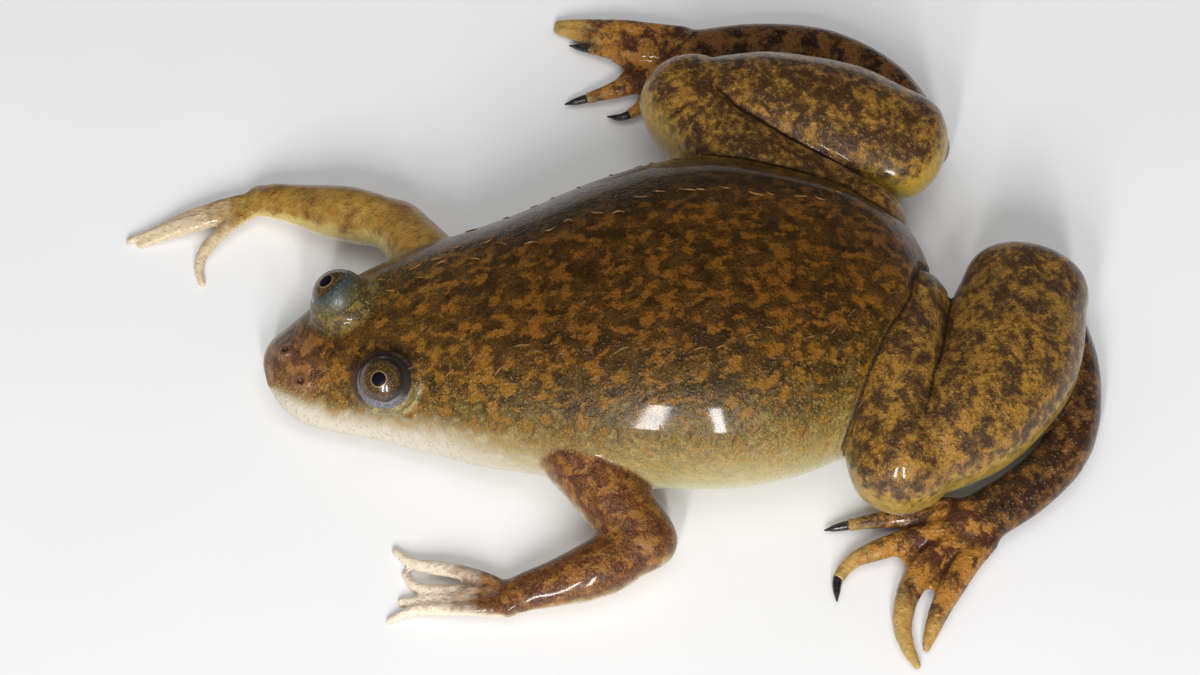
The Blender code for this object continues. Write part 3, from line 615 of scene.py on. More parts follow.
def body_rings():
    """Rings of drawing points round the body, from snout to vent."""
    angles = np.arange(BODY_SIDES) * 2 * math.pi / BODY_SIDES
    c, s = np.cos(angles), np.sin(angles)
    rings = []
    for row in smooth_rows(BODY, BODY_RINGS):
        section = Section(*row)
        middle, across, _ = body_axes(section)
        power = np.where(s >= 0, top_power(section.along), BELLY_POWER)
        wide = np.sign(c) * np.abs(c) ** (2 / power) * section.half_width
        tall = np.sign(s) * np.abs(s) ** (2 / power) * np.where(s >= 0, section.rise, section.drop)
        rings.append(np.array(middle) + np.outer(wide, across) + np.outer(tall, UP))
    return rings


def add_face(shape):
    """Adds the mounds and rims round the eyes, the nostrils' rims and the feelers below the eyes."""
    for side, sign in SIDES.items():
        centre, look = eye_axes(side)
        add_ball(shape, centre - look * MOUND_SINK, MOUND_RADII)
        turn = basis(UP, look)
        middle = centre + look * EYE_RING_LIFT
        ring = circle(middle, turn.col[0], turn.col[1], EYE_RING_RADIUS, BODY_SIDES // 2)
        add_torus(shape, ring, LIDS[side].rim)
        add_ball(shape, nostril_point(side), NOSTRIL_RIM)
        root, above = (body_point(FEELER_ALONG, 90 - sign * FEELER_DEG, lift) for lift in FEELER_LIFTS)
        out = (above - root).normalized()
        feeler = [root, root + out, root + out * FEELER_LENGTH + Vector((0, FEELER_LEAN, 0))]
        add_tube(shape, smooth_rows(feeler, FEELER_RINGS), np.linspace(*FEELER_RADII, FEELER_RINGS))


def add_limbs(shape, swell):
    """Adds the nodes of the limbs, swollen so that they run into one another."""
    for node in LIMB_NODES:
        for side in SIDES:
            part = node_shape(f"{node}_{side}")
            bmesh.ops.recalc_face_normals(part, faces=part.faces)
            part.normal_update()
            for vertex in part.verts:
                vertex.co += vertex.normal * swell
            grown = bpy.data.meshes.new("grown")
            part.to_mesh(grown)
            part.free()
            shape.from_mesh(grown)
            bpy.data.meshes.remove(grown)


def nostril_point(side):
    """Middle of a nostril's rim on the snout."""
    spread = math.degrees(math.atan2(NOSTRIL_SPACING / 2, body_at(NOSTRIL_ALONG).rise))
    return body_point(NOSTRIL_ALONG, 90 - SIDES[side] * spread)


def nostril_pit(side):
    """Middle of the opening in a nostril's rim."""
    out, back, up = NOSTRIL_PIT
    return nostril_point(side) + Vector((SIDES[side] * out, back, up))


def snout_tip():
    first = Section(*BODY[0])
    return Vector((first.sway, SNOUT_Y + first.along / 2, first.widest))


def body_end():
    last = Section(*BODY[-1])
    return Vector((last.sway, SNOUT_Y + SNOUT_VENT, last.widest))


def mouth_line():
    """Points along the line of the mouth, from one jaw corner round the snout to the other."""
    stations = np.linspace(MOUTH_END_ALONG, MOUTH_FRONT_ALONG, MOUTH_STATIONS)
    left = [body_point(a, -MOUTH_DROP_DEG, MOUTH_LIFT) for a in stations]
    right = [body_point(a, 180 + MOUTH_DROP_DEG, MOUTH_LIFT) for a in stations[::-1]]
    tip = snout_tip() - Vector((0, MOUTH_LIFT, MOUTH_TIP_DROP))
    return smooth_rows([*left, tip, *right], MOUTH_POINTS)


def node_tree(*names):
    """The faces of some nodes for finding the nearest one, with the name's number for each face."""
    corners, faces, owner = [], [], []
    for number, name in enumerate(names):
        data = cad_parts[name].data
        base = len(corners)
        corners += [v.co.copy() for v in data.vertices]
        faces += [tuple(base + i for i in p.vertices) for p in data.polygons]
        owner += [number] * len(data.polygons)
    return BVHTree.FromPolygons(corners, faces), np.array(owner)


def nearest_node(points):
    """The name of the flesh node that lies nearest to each point, with and without its side."""
    names = [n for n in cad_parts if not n.startswith(("eye", "claw"))]
    tree, owner = node_tree(*names)
    found = owner[[tree.find_nearest(Vector(p))[2] for p in to_frame(points)]]
    kinds = [n[:-2] if n.endswith(("_l", "_r")) else n for n in names]
    return np.array(names)[found], np.array(kinds)[found]


def fold_distance(net, names):
    """How much nearer each point is to one of two nodes, in millimetres, and how close to both, 0 to 1."""
    near, places, reach = np.ones(net.count, dtype=bool), to_frame(net.points), FOLD_REACH * MM
    for name in names:
        low, high = (np.array(corner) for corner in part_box(name))
        near &= ((places > low - reach) & (places < high + reach)).all(axis=1)
    away, close = np.full(net.count, FOLD_REACH), np.zeros(net.count)
    trees = [node_tree(name)[0] for name in names]
    for i in np.flatnonzero(near):
        place = Vector(places[i])
        gaps = [tree.find_nearest(place, reach)[3] for tree in trees]
        if None not in gaps:
            away[i] = abs(gaps[0] - gaps[1]) / MM
            close[i] = eased(max(gaps), reach, FOLD_FULL * reach)
    return away, close


def press_folds(net, kinds, digits):
    """Presses a fold into the skin where two parts lie against each other, and gives the mask of its seam,
    where painted shade darkens the fold.
    """
    push, seam = np.zeros(net.count), np.zeros(net.count)
    for side in SIDES:
        for first, second, depth, joint in FOLDS:
            names = [f"{n}_{side}" if n != "torso" else n for n in (first, second)]
            away, shown = fold_distance(net, names)
            shown *= net.spread(np.isin(kinds, (first, second)).astype(float), FOLD_ROUNDS)
            shown *= 1 - DIGIT_FOLD_LOSS * digits
            if joint:
                shown *= eased(distance(net.points, joint[side]), *FOLD_JOINT_FADE)
            push = np.maximum(push, depth * shown * bell(away, FOLD_WIDTH))
            # How dark the seam's painted shade is: the deeper the fold, the darker
            dark = min(1.0, depth / SEAM_FULL_DEPTH) ** 2
            seam = np.maximum(seam, dark * shown * bell(away, SEAM_WIDTH))
    net.points -= net.normals() * net.spread(push, 1)[:, None]
    return seam


def remeshed(shape, voxel):
    """The overlapping forms of a bmesh as one even mesh."""
    rough = bpy.data.meshes.new("rough")
    shape.to_mesh(rough)
    shape.free()
    holder = bpy.data.objects.new("rough", rough)
    bpy.context.scene.collection.objects.link(holder)
    remesh = holder.modifiers.new("remesh", "REMESH")
    remesh.mode = "VOXEL"
    remesh.voxel_size = voxel
    remesh.use_smooth_shade = True
    seen = holder.evaluated_get(bpy.context.evaluated_depsgraph_get())
    mesh = bpy.data.meshes.new_from_object(seen)
    bpy.data.objects.remove(holder)
    return mesh


def refine_head(mesh):
    """Halves the faces of the face and snout."""
    shape = bmesh.new()
    shape.from_mesh(mesh)
    limit, half_width = to_frame((0, SNOUT_Y + HEAD_LENGTH, 0))[1], HEAD_HALF_WIDTH * MM
    edges = [e for e in shape.edges if all(v.co.y < limit and abs(v.co.x) < half_width for v in e.verts)]
    bmesh.ops.subdivide_edges(shape, edges=edges, cuts=1, use_grid_fill=True)
    shape.to_mesh(mesh)
    shape.free()


def write_mark(mesh, name, values):
    """Keeps one value for each point of a mesh, which its material reads by name."""
    mesh.attributes.new(name, "FLOAT", "POINT").data.foreach_set("value", values.astype(np.float32))


def skin_mesh(settings):
    """The finished mesh of the skin, with what each part of it is coloured by."""
    shape = bmesh.new()
    loft(shape, body_rings(), snout_tip(), body_end())
    add_face(shape)
    add_limbs(shape, settings.swell)
    mesh = remeshed(shape, settings.voxel)
    mesh.name = "skin"
    net = Net(mesh)
    _, kinds = nearest_node(net.points)
    digits = np.isin(kinds, ["hand", "foot"]).astype(float)
    for joint in (WRIST, ANKLE):
        for side in SIDES:
            digits *= eased(distance(net.points, joint[side]), *DIGIT_START)
    digits = net.spread(digits, PART_ROUNDS)
    face = (kinds == "head") & (net.points[:, 1] < SNOUT_Y + FACE_LENGTH)
    face = net.spread(face.astype(float), PART_ROUNDS)
    net.fair(FAIR_FIRST)
    net.relax(RELAX_ROUNDS, RELAX_WEIGHT * (1 - digits) * (1 - FACE_SPARED * face))
    net.fair(FAIR_AFTER)
    net.points -= net.normals() * (SKIN_SHRINK + DIGIT_SHRINK * digits)[:, None]
    write_mark(mesh, "seam", press_folds(net, kinds, digits))
    net.fair(FAIR_FOLDS)
    net.write(mesh)
    refine_head(mesh)
    net = Net(mesh)
    net.fair(FAIR_TRUNK, eased(net.points[:, 1] - SNOUT_Y, *HEAD_FADE))
    carve_face(net)
    net.points[:, 2] = np.maximum(net.points[:, 2], -OFFSET.z)
    net.write(mesh)
    for name, values in skin_marks(net).items():
        write_mark(mesh, name, values)
    mesh.shade_smooth()
    return mesh


def carve_face(net):
    """Cuts the mouth and nostrils into the head, and raises the lips."""
    near = np.flatnonzero(net.points[:, 1] < SNOUT_Y + HEAD_LENGTH)
    points, normals = net.points[near], net.normals()[near]
    line = mouth_line()
    tree = KDTree(len(line))
    for i, point in enumerate(line):
        tree.insert(point, i)
    tree.balance()
    nearest, number, gap = zip(*(tree.find(point) for point in points))
    gap, at = np.array(gap), np.array(number) / len(line)
    above = points[:, 2] > np.array([point.z for point in nearest])
    shift = np.where(above, ridge(gap, *UPPER_LIP), ridge(gap, *LOWER_LIP)) - ridge(gap, *MOUTH_CUT)
    shift *= eased(at, 0.0, MOUTH_FADE) * eased(at, 1.0, 1 - MOUTH_FADE)
    for side in SIDES:
        away = distance(points, nostril_pit(side))
        shift += ridge(away, *NOSTRIL_LIP) - NOSTRIL_DEPTH * bell(away, NOSTRIL_RADIUS, 4)
    net.points[near] += normals * shift[:, None]


def ridge(gap, height, peak, width):
    """Height of a rounded ridge whose top lies at a distance of peak."""
    return height * bell(gap - peak, width)


def skin_marks(net):
    """The values over the skin that its colours are mixed by, each under its name."""
    names, kinds = nearest_node(net.points)
    masks = {
        "arm": np.isin(kinds, ["upper_arm", "forearm", "hand"]),
        "hand": kinds == "hand",
        "leg": np.isin(kinds, ["thigh", "shank", "tarsus", "foot"]),
        "shin": np.isin(kinds, ["tarsus", "foot"]),
        "foot": kinds == "foot",
    }
    marks = {name: net.spread(mask.astype(float), MARK_ROUNDS) for name, mask in masks.items()}
    normals = net.normals()
    for _ in range(NORMAL_ROUNDS):
        normals = net.mean(normals)
    normals /= np.maximum(np.linalg.norm(normals, axis=1, keepdims=True), 1e-9)
    marks["up"] = net.spread(normals[:, 2], UP_ROUNDS)
    marks["reach"] = np.zeros(net.count)
    for side in SIDES:
        for node, joint, way in (("hand", WRIST, 1), ("foot", ANKLE, 1), ("tarsus", ANKLE, -1)):
            mine = names == f"{node}_{side}"
            marks["reach"][mine] = way * distance(net.points[mine], joint[side])
    return {**marks, **trunk_marks(net.points), **face_marks(net.points)}


def trunk_marks(points):
    """How far each point is above the belly's edge, in units of HEIGHT_UNIT, and how far front and right."""
    along = points[:, 1] - SNOUT_Y
    sway, half_width, widest, rise, drop = (
        np.interp(along, FINE_BODY[:, 0], FINE_BODY[:, k]) for k in (1, 3, 4, 5, 6))
    out = np.abs(points[:, 0] - sway) / half_width
    high = (points[:, 2] - widest) / np.where(points[:, 2] > widest, rise, drop)
    edge = np.interp(along, *np.array(BELLY_EDGE, dtype=float).T)
    edge -= RIGHT_JAW_DROP * eased(along, *RIGHT_JAW_ALONG) * eased(points[:, 0] - sway, *RIGHT_JAW_SIDE)
    return {
        "height": (np.degrees(np.arctan2(high, out)) - edge) / HEIGHT_UNIT,
        "front": eased(along, *FRONT_FADE),
        "right": eased(points[:, 0], *RIGHT_FADE),
    }


def face_marks(points):
    """How near each point is to the snout, the nostrils and the rims and domes of the eyes."""
    marks = {
        "snout": eased(distance(points, body_point(*SNOUT_SPOT)), *SNOUT_FADE),
        "rim": np.zeros(len(points)),
        "nostril": np.zeros(len(points)),
    }
    _, across, _ = body_axes(body_at(EYE_ALONG))
    for side, sign in SIDES.items():
        centre, _ = eye_axes(side)
        away = distance(points, centre)
        way = across * sign * SOCKET_WAY[0] + UP * SOCKET_WAY[1]
        facing = (points - np.array(centre)) @ np.array(way) / away
        marks["rim"] = np.maximum(marks["rim"], eased(away, *RIM_FADE) * eased(facing, *RIM_FACING))
        if side == "l":
            marks["brow"] = eased(away, *BROW_FADE) * eased(facing, *BROW_FACING)
        else:
            marks["dome"] = eased(away, *DOME_FADE)
        pit = distance(points, nostril_pit(side))
        marks["nostril"] = np.maximum(marks["nostril"], eased(pit, *PIT_FADE))
    return marks


def trunk_colour(sh, settings, tones, broad):
    """Spotted back and head with painted shade over the far side and top of the back, rusty snout, yellow
    flank, and cream belly and jaw.
    """
    height, head, right = (sh.attribute(name) for name in ("height", "front", "right"))
    uneven, shift = tones.pale - 0.5, (broad - 0.5) * 0.12
    back = sh.mottle(tones, settings.back_dark, settings.back_pale, shift)
    skin = sh.mix(head, back, sh.mottle(tones, settings.head_dark, settings.head_pale, shift))
    # Painted shade: darker brown over the frog's far (right) side and the top of the back, less on the head
    painted_shade = (height.smooth(1.2, 2.9) * 0.3 + right * 0.6) * (1.0 - head * 0.7)
    skin = sh.mix(painted_shade, skin, BACK_PAINTED_SHADE)
    low = height.smooth(2.3, 0.9) * (1.0 - head * 0.6)
    skin = sh.mix(low, skin, FLANK_TINT, "MULTIPLY")
    snout = sh.mottle(tones, settings.snout_dark, settings.snout_pale, 0.02)
    skin = sh.mix(sh.attribute("snout") * 0.85, skin, snout)
    flank = sh.mottle(tones, settings.flank_dark, settings.flank_pale, 0.03)
    on_flank = (height + head * 0.3 + uneven * 2.2 + tones.grit * 0.5).smooth(1.35, 0.25)
    skin = sh.mix(on_flank, skin, flank)
    belly = sh.mix((tones.grit - height).smooth(-0.1, 1.2), settings.belly, BELLY_PALE)
    on_belly = (height + uneven * 0.7 + tones.grit * 0.9).smooth(0.70, -0.55)
    return sh.mix(on_belly, skin, sh.mix(head, belly, settings.jaw))


def leg_colour(sh, settings, tones, warp):
    """Blotched thigh and shank with painted shade on the tops of the right legs, dark shin and banded toes.
    """
    blots = sh.noise(0.40, 2.0, 0.45, distortion=0.3, vector=sh.moved(1.6, warp))
    small = sh.noise(0.95, 1.5, 0.4, vector=sh.moved(0.8, warp))
    spots = Tones(blots * 0.72 + small * 0.28, 1.04 - blots * 0.6 - small * 0.4, tones.grit)
    skin = sh.mottle(spots, settings.leg_dark, settings.leg_pale)
    up, right, reach = (sh.attribute(name) for name in ("up", "right", "reach"))
    uneven, wave = small - 0.5, blots - 0.5
    top, side = (up + uneven * 0.8).smooth(0.78, 1.08), (up + uneven * 0.6).smooth(0.72, 0.30)
    low, under = (up + uneven * 0.8).smooth(0.42, -0.10), (up + uneven * 0.4).smooth(-0.15, -0.55)
    # Painted shade: darker brown on the upward faces of the right hind legs, on the frog's far side
    skin = sh.mix(right * top * 0.7, skin, LEG_PAINTED_SHADE)
    skin = sh.mix(right * side * 0.6, skin, LEG_YELLOW)
    skin = sh.mix(low * 0.55, skin, LEG_SAND)
    skin = sh.mix(under, skin, settings.belly)
    rings = (reach * 1.3 + wave * 6.0).math("SINE") * 0.07
    shin = sh.mottle(spots, settings.shin_dark, settings.shin_pale, right * (0.07 + rings) - 0.035)
    skin = sh.mix(sh.attribute("shin"), skin, shin)
    bands = (reach * 1.05 + wave * 9.0).math("SINE") * 0.11 + reach.smooth(5.0, 24.0) * 0.05
    toes = sh.mottle(spots, settings.toe_dark, settings.toe_pale, bands + 0.005)
    tips = (reach + uneven * 16.0).smooth(13.0, 23.0)
    return sh.mix(sh.attribute("foot"), skin, sh.mix(tips * 0.7, toes, TOE_TIP))


def arm_colour(sh, settings, tones, warp):
    """Red brown, grained arms with pale fingers; the right arm is the paler."""
    blots = sh.noise(0.6, 2.0, 0.5, vector=sh.moved(1.5, warp))
    spots = Tones(blots, tones.pale, tones.grit)
    up, right, reach = (sh.attribute(name) for name in ("up", "right", "reach"))
    uneven, side = blots - 0.5, up.smooth(0.80, 0.0)
    skin = sh.mottle(spots, settings.arm_dark, settings.arm_pale, right * 0.08)
    skin = sh.mix(right * (0.45 + uneven * 1.5), skin, ARM_OCHRE)
    yellow = (side * 0.9 + right * 0.40 + uneven * 1.2).smooth(0.55, 1.20)
    skin = sh.mix(yellow * (0.45 + right * 0.4), skin, ARM_YELLOW)
    finger = sh.mix(tones.grit.smooth(-0.06, 0.10) * 0.4, settings.finger, FINGER_GRAIN)
    finger = sh.mix(right * 0.45, finger, FINGER_OCHRE)
    paling = (reach + side * 5.0 - 3.5 + uneven * 10.0).smooth(0.0, 11.0)
    skin = sh.mix(paling * sh.attribute("hand"), skin, finger)
    under = (up - uneven * 0.5).smooth(0.10, -0.45)
    return sh.mix(under * 0.9, skin, settings.finger)


def face_colour(sh, tones, skin):
    """Pale speckled sockets, the right eye's olive dome, painted shadow along the top of the left eye, and
    the nostrils with painted shade in their openings.
    """
    marks = ("rim", "right", "dome", "brow", "nostril")
    rim, right, dome, brow, pit = (sh.attribute(name) for name in marks)
    socket = sh.mix((tones.pale + tones.grit).smooth(0.42, 0.6), SOCKET_DARK, SOCKET_PALE)
    skin = sh.mix(rim * (1.0 - right) * 0.8, skin, socket)
    olive = sh.mix((tones.pale + tones.grit * 1.5).smooth(0.38, 0.66), DOME_DARK, DOME_PALE)
    skin = sh.mix(dome * 0.85, skin, olive)
    # Painted shadow of the lid along the top of the left eye
    skin = sh.mix(brow * 0.85, skin, BROW_PAINTED_SHADOW)
    skin = sh.mix(pit.smooth(0.05, 0.5) * 0.7, skin, NOSTRIL_RUST)
    # Painted shade in the nostrils' openings
    return sh.mix(pit.smooth(0.62, 0.95) * 0.9, skin, NOSTRIL_PAINTED_SHADE)


def skin_material(settings):
    """Wet, finely grained skin: spotted back, cream belly, blotched legs and banded toes."""
    sh = Shader("frog_skin", Coat_Roughness=0.08, Coat_IOR=1.36, Specular_IOR_Level=0.25,
                Subsurface_Weight=0.05, Subsurface_Scale=0.0005, Subsurface_Radius=(1.0, 0.5, 0.25))
    warp = sh.node("ShaderNodeTexNoise", {}, {"Vector": sh.place, "Scale": 0.35, "Detail": 2.0})
    grain, fine, broad = sh.noise(1.9, 2.0, 0.6), sh.noise(4.2, 2.0, 0.75), sh.noise(0.12, 2.0, 0.5)
    drawn = sh.vector("MULTIPLY", sh.moved(1.5, warp), (1.0, 0.68, 1.0))
    tones = Tones(sh.noise(0.48, 1.5, 0.4, vector=drawn), sh.noise(0.72, 1.0, 0.4, vector=drawn),
                  grain * 0.35 + fine * 0.65 - 0.5)
    leg, arm, seam = (sh.attribute(name) for name in ("leg", "arm", "seam"))
    skin = trunk_colour(sh, settings, tones, broad)
    skin = sh.mix(leg.smooth(0.1, 0.9), skin, leg_colour(sh, settings, tones, warp))
    skin = sh.mix(arm.smooth(0.1, 0.9), skin, arm_colour(sh, settings, tones, warp))
    skin = face_colour(sh, tones, skin)
    granules = sh.cells(MM / settings.granule, 0.25)
    domes = granules.smooth(0.5, 0.05)
    # Pale dots on the lower flank: partly the pale tips of the granules, partly painted glints on them
    granule_tips_and_glints = granules.smooth(0.26, 0.10) * sh.attribute("height").smooth(2.3, 0.8)
    skin = sh.mix(granule_tips_and_glints * (1.0 - arm) * (1.0 - leg * 0.5) * 0.5, skin, GRANULE_TIP_AND_GLINT)
    # Painted shade darkens the folds along their seams
    skin = sh.mix(seam.smooth(0.2, 0.85) * 0.9, skin, FOLD_PAINTED_SHADE)
    sh.feed("Base Color", skin)
    sh.feed("Roughness", 0.32 + grain * 0.12 + seam * 0.3)
    sh.feed("Coat Weight", (0.55 + (broad - 0.5) * 0.7) * (1.0 - seam) * (1.0 - sh.attribute("brow") * 0.85))
    fine_bump = sh.bump(domes + fine * 0.5, 0.00011, 0.9)
    sh.feed("Normal", sh.bump(sh.noise(0.9, 3.0, 0.55), 0.00035, 0.6, fine_bump))
    return sh.material


class FROG_OT_skin(bpy.types.Operator):
    """Makes the one skin that stands for the head, trunk and limbs"""
    bl_idname = "frog.skin"
    bl_label = "Skin"

    def execute(self, context):
        settings = context.scene.frog_skin
        mesh = skin_mesh(settings)
        if len(mesh.polygons) < LEAST_SKIN_FACES:
            raise RuntimeError("the skin's mesh is too coarse")
        mesh.materials.append(skin_material(settings))
        made = bpy.data.objects.new("skin", mesh)
        context.scene.collection.objects.link(made)
        nodes = ["head", "torso"] + [f"{n}_{s}" for n in LIMB_NODES for s in SIDES]
        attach(made, "root")
        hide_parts(*nodes)
        return {"FINISHED"}


def eye_material(settings):
    """Bronze iris with a gold ring round a black pupil, under a clear wet surface."""
    sh = Shader("frog_eye", Roughness=0.3, Specular_IOR_Level=0.3, Coat_Weight=1.0, Coat_Roughness=0.015,
                Coat_IOR=1.36)
    x, y, z = (sh.along(axis) for axis in ((1, 0, 0), (0, 1, 0), (0, 0, 1)))
    off = (x * x + y * y).power(0.5).math("ARCTAN2", z)
    turn = y.math("ARCTAN2", x)
    spokes = sh.node("ShaderNodeCombineXYZ", {}, {0: turn * 7.0, 1: off * 3.0, 2: 0.0}).outputs[0]
    fibre = sh.noise(1.8, 3.0, 0.65, vector=spokes)
    flecks = sh.noise(6.5, 2.0, 0.6)
    iris = sh.mix((fibre + (flecks - 0.5) * 0.8).smooth(0.40, 0.66), IRIS_DARK, settings.bronze)
    iris = sh.mix(flecks.smooth(0.60, 0.72) * 0.75, iris, settings.gold)
    iris = sh.mix(off.smooth(settings.iris * 0.70, settings.iris), iris, IRIS_EDGE)
    rim = sh.mix(x.smooth(0.3, 2.6), settings.rim, RIM_PALE)
    ball = sh.mix((off + (fibre - 0.5) * 0.05).smooth(settings.iris * 0.97, settings.iris * 1.08), iris, rim)
    edge, pupil = off + (fibre - 0.5) * 0.03, settings.pupil
    ring = edge.smooth(pupil * 1.02, pupil * 1.07) * edge.smooth(pupil * 1.24, pupil * 1.12)
    ball = sh.mix(ring * 0.85, ball, settings.gold)
    ball = sh.mix(edge.smooth(pupil * 1.05, pupil * 0.98), ball, PUPIL_BLACK)
    sh.feed("Base Color", ball)
    sh.feed("Metallic", ring * 0.5)
    return sh.material


def lid_material(settings, side):
    """Grey, speckled and wet, and olive towards the head."""
    sh = Shader(f"frog_lid_{side}", Roughness=0.45, Coat_Weight=0.25, Coat_Roughness=0.15, Coat_IOR=1.33)
    veins = sh.noise(2.4, 4.0, 0.7, distortion=0.5)
    centre, look = eye_axes(side)
    facing = sh.along(look, to_frame(centre) / MM)
    tint = {"l": settings.lid_l, "r": settings.lid_r}[side]
    skin = sh.mix(veins.smooth(0.44, 0.70), tint, [c * 2.6 for c in tint])
    olive = sh.mix(veins.smooth(0.52, 0.66), settings.lid_olive, LID_OLIVE_PALE)
    skin = sh.mix((facing + (veins - 0.5) * 2.0).smooth(*LIDS[side].olive), skin, olive)
    sh.feed("Base Color", skin)
    sh.feed("Normal", sh.bump(veins, 0.0001, 0.4))
    return sh.material


class FROG_OT_eyes(bpy.types.Operator):
    """Makes the eyeballs and the translucent lids that cross them"""
    bl_idname = "frog.eyes"
    bl_label = "Eyes and lids"

    def execute(self, context):
        settings = context.scene.frog_eye
        material = eye_material(settings)
        _, across, ahead = body_axes(body_at(EYE_ALONG))
        for side, sign in SIDES.items():
            centre, gaze = eye_axes(side, PUPIL_LOOK)
            shape = bmesh.new()
            bmesh.ops.create_uvsphere(shape, u_segments=128, v_segments=80, radius=settings.radius)
            eye = finish_mesh(shape, f"eyeball_{side}", material)
            turn = basis(across * sign + ahead, gaze).to_4x4()
            eye.matrix_world = Matrix.Translation(Vector(to_frame(centre))) @ turn
            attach(eye, "root")
            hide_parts(f"eye_{side}")
            shell = self.shell(side, settings.radius / MM)
            lid = finish_mesh(shell, f"lid_{side}", lid_material(settings, side))
            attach(lid, "root")
        return {"FINISHED"}

    def shell(self, side, radius):
        """A thin closed crescent over one part of an eyeball."""
        centre, look = eye_axes(side)
        _, across, ahead = body_axes(body_at(EYE_ALONG))
        lid = LIDS[side]
        turn = basis(across * SIDES[side] * lid.out + ahead * lid.ahead, look)
        grid = []
        for i in range(LID_STEPS + 1):
            share = 2 * i / LID_STEPS - 1
            phi = math.radians(lid.spread) * share
            depth = max(0.0, math.cos(share * math.pi / 2)) ** LID_CORNER_POWER
            inner = LID_INNER_DEG - lid.reach * depth
            outer, lower = [], []
            for k in range(LID_ROWS + 1):
                theta = math.radians(inner + (LID_OUTER_DEG - inner) * k / LID_ROWS)
                way = turn @ Vector((math.sin(theta) * math.cos(phi), math.sin(theta) * math.sin(phi),
                                     math.cos(theta)))
                rounded = math.sin(math.pi / 2 * min(1.0, LID_ROUNDING * k / LID_ROWS))
                outer.append(centre + way * (radius + LID_EDGE + LID_THICKNESS * rounded))
                lower.append(centre + way * (radius - LID_SINK))
            grid.append(outer + lower[::-1])
        shape = bmesh.new()
        ends = [sum(line, Vector()) / len(line) for line in (grid[0], grid[-1])]
        loft(shape, grid[1:-1], *ends)
        return shape


def jitter(number):
    """An uneven but repeatable number from -1 to 1."""
    return 2 * (math.sin(number * 12.9898) * 43758.5453 % 1.0) - 1


class FROG_OT_lateral_line(bpy.types.Operator):
    """Makes the small raised stitches of the lateral line on the back, flanks and head"""
    bl_idname = "frog.lateral_line"
    bl_label = "Lateral line"

    def execute(self, context):
        settings = context.scene.frog_parts
        skin = bpy.data.objects["skin"]
        tree = BVHTree.FromObject(skin, context.evaluated_depsgraph_get())
        shape = bmesh.new()
        for number, (place, ahead, share) in enumerate(self.stitches()):
            self.add_stitch(shape, tree, place, ahead, settings.stitch_length / MM * share,
                            settings.stitch_width / MM / 2, STITCH_BEND * jitter(number + 0.7))
        if not shape.verts:
            raise RuntimeError("no stitch of the lateral line meets the skin")
        sh = Shader("frog_stitch", Roughness=0.5, Specular_IOR_Level=0.3)
        dark = [c * 0.5 for c in settings.stitch]
        tint = sh.mix(sh.noise(0.7, 2.0, 0.5).smooth(0.4, 0.6), dark, settings.stitch)
        sh.feed("Base Color", sh.mix(sh.along(UP).smooth(*STITCH_PALE_HEIGHTS), tint, STITCH_PALE))
        made = finish_mesh(shape, "lateral_line", sh.material)
        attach(made, "root")
        return {"FINISHED"}

    def add_stitch(self, shape, tree, place, ahead, long, radius, bend):
        """Adds one curved ridge that lies along the skin and is half sunk in it."""
        hit, normal, _, gap = tree.find_nearest(Vector(to_frame(place)))
        if hit is None or gap > STITCH_MAX_GAP * MM:
            return
        lie = (ahead - normal * ahead.dot(normal)).normalized()
        side = normal.cross(lie)
        start = Vector(from_frame(hit))
        line, radii = [], []
        for t in np.linspace(-1, 1, STITCH_RINGS):
            target = start + lie * t * long / 2 + side * bend * (1 - t * t)
            found, out, _, _ = tree.find_nearest(Vector(to_frame(target)))
            line.append(Vector(from_frame(found)) + out * radius * STITCH_RAISED)
            radii.append(radius * (1 - STITCH_TAPER * abs(t) ** STITCH_TAPER_POWER))
        add_tube(shape, line, radii, STITCH_SIDES)

    def stitches(self):
        """Place, direction and share of the full length of each sense organ."""
        made = []
        for side, sign in SIDES.items():
            for row, (height, first, last, step, tilt) in enumerate(STITCH_ROWS):
                for i, along in enumerate(np.arange(first, last, step)):
                    seed = 17 * row + i + 0.37 * sign
                    at = along + STEP_JITTER * step * jitter(seed)
                    rise = 90 - height - HEIGHT_JITTER * jitter(seed + 0.11)
                    here = body_point(at, 90 - sign * rise)
                    lie = (body_point(at + 1.5, 90 - sign * rise) - here).normalized()
                    up = (body_point(at, 90 - sign * (rise - 6)) - here).normalized()
                    turn = math.radians(tilt + TILT_JITTER * jitter(seed + 0.23))
                    share = STITCH_SHARE + SHARE_JITTER * jitter(seed)
                    made.append((here, lie * math.cos(turn) + up * math.sin(turn), share))
        return made


class FROG_OT_claws(bpy.types.Operator):
    """Makes the black claws of the three inner toes of each foot"""
    bl_idname = "frog.claws"
    bl_label = "Claws"

    def execute(self, context):
        settings = context.scene.frog_parts
        sh = Shader("frog_claw", Coat_Weight=0.3, Coat_Roughness=0.08)
        streak = sh.noise(1.6, 3.0, 0.6)
        sh.feed("Base Color", sh.mix(streak.smooth(0.4, 0.7), settings.claw, CLAW_PALE))
        sh.feed("Roughness", 0.22 + streak * 0.2)
        for toe in (1, 2, 3):
            for side in SIDES:
                node = f"claw_{toe}_{side}"
                shape = node_shape(node)
                shape.normal_update()
                self.draw_back(shape, settings.claw_sleeve)
                made = finish_mesh(shape, f"horn_{toe}_{side}", sh.material)
                rounding = made.modifiers.new("round", "SUBSURF")
                rounding.levels = rounding.render_levels = 2
                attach(made, "root")
                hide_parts(node)
        return {"FINISHED"}

    def draw_back(self, shape, sleeve):
        """Moves a claw's flat base back over the end of its toe."""
        faces = list(shape.faces)
        flat = [[g for g in faces if g.normal.dot(f.normal) > SAME_PLANE] for f in faces]
        base = max(flat, key=lambda group: sum(f.calc_area() for f in group))
        normal = base[0].normal.copy()
        for vertex in {v for f in base for v in f.verts}:
            vertex.co += normal * sleeve


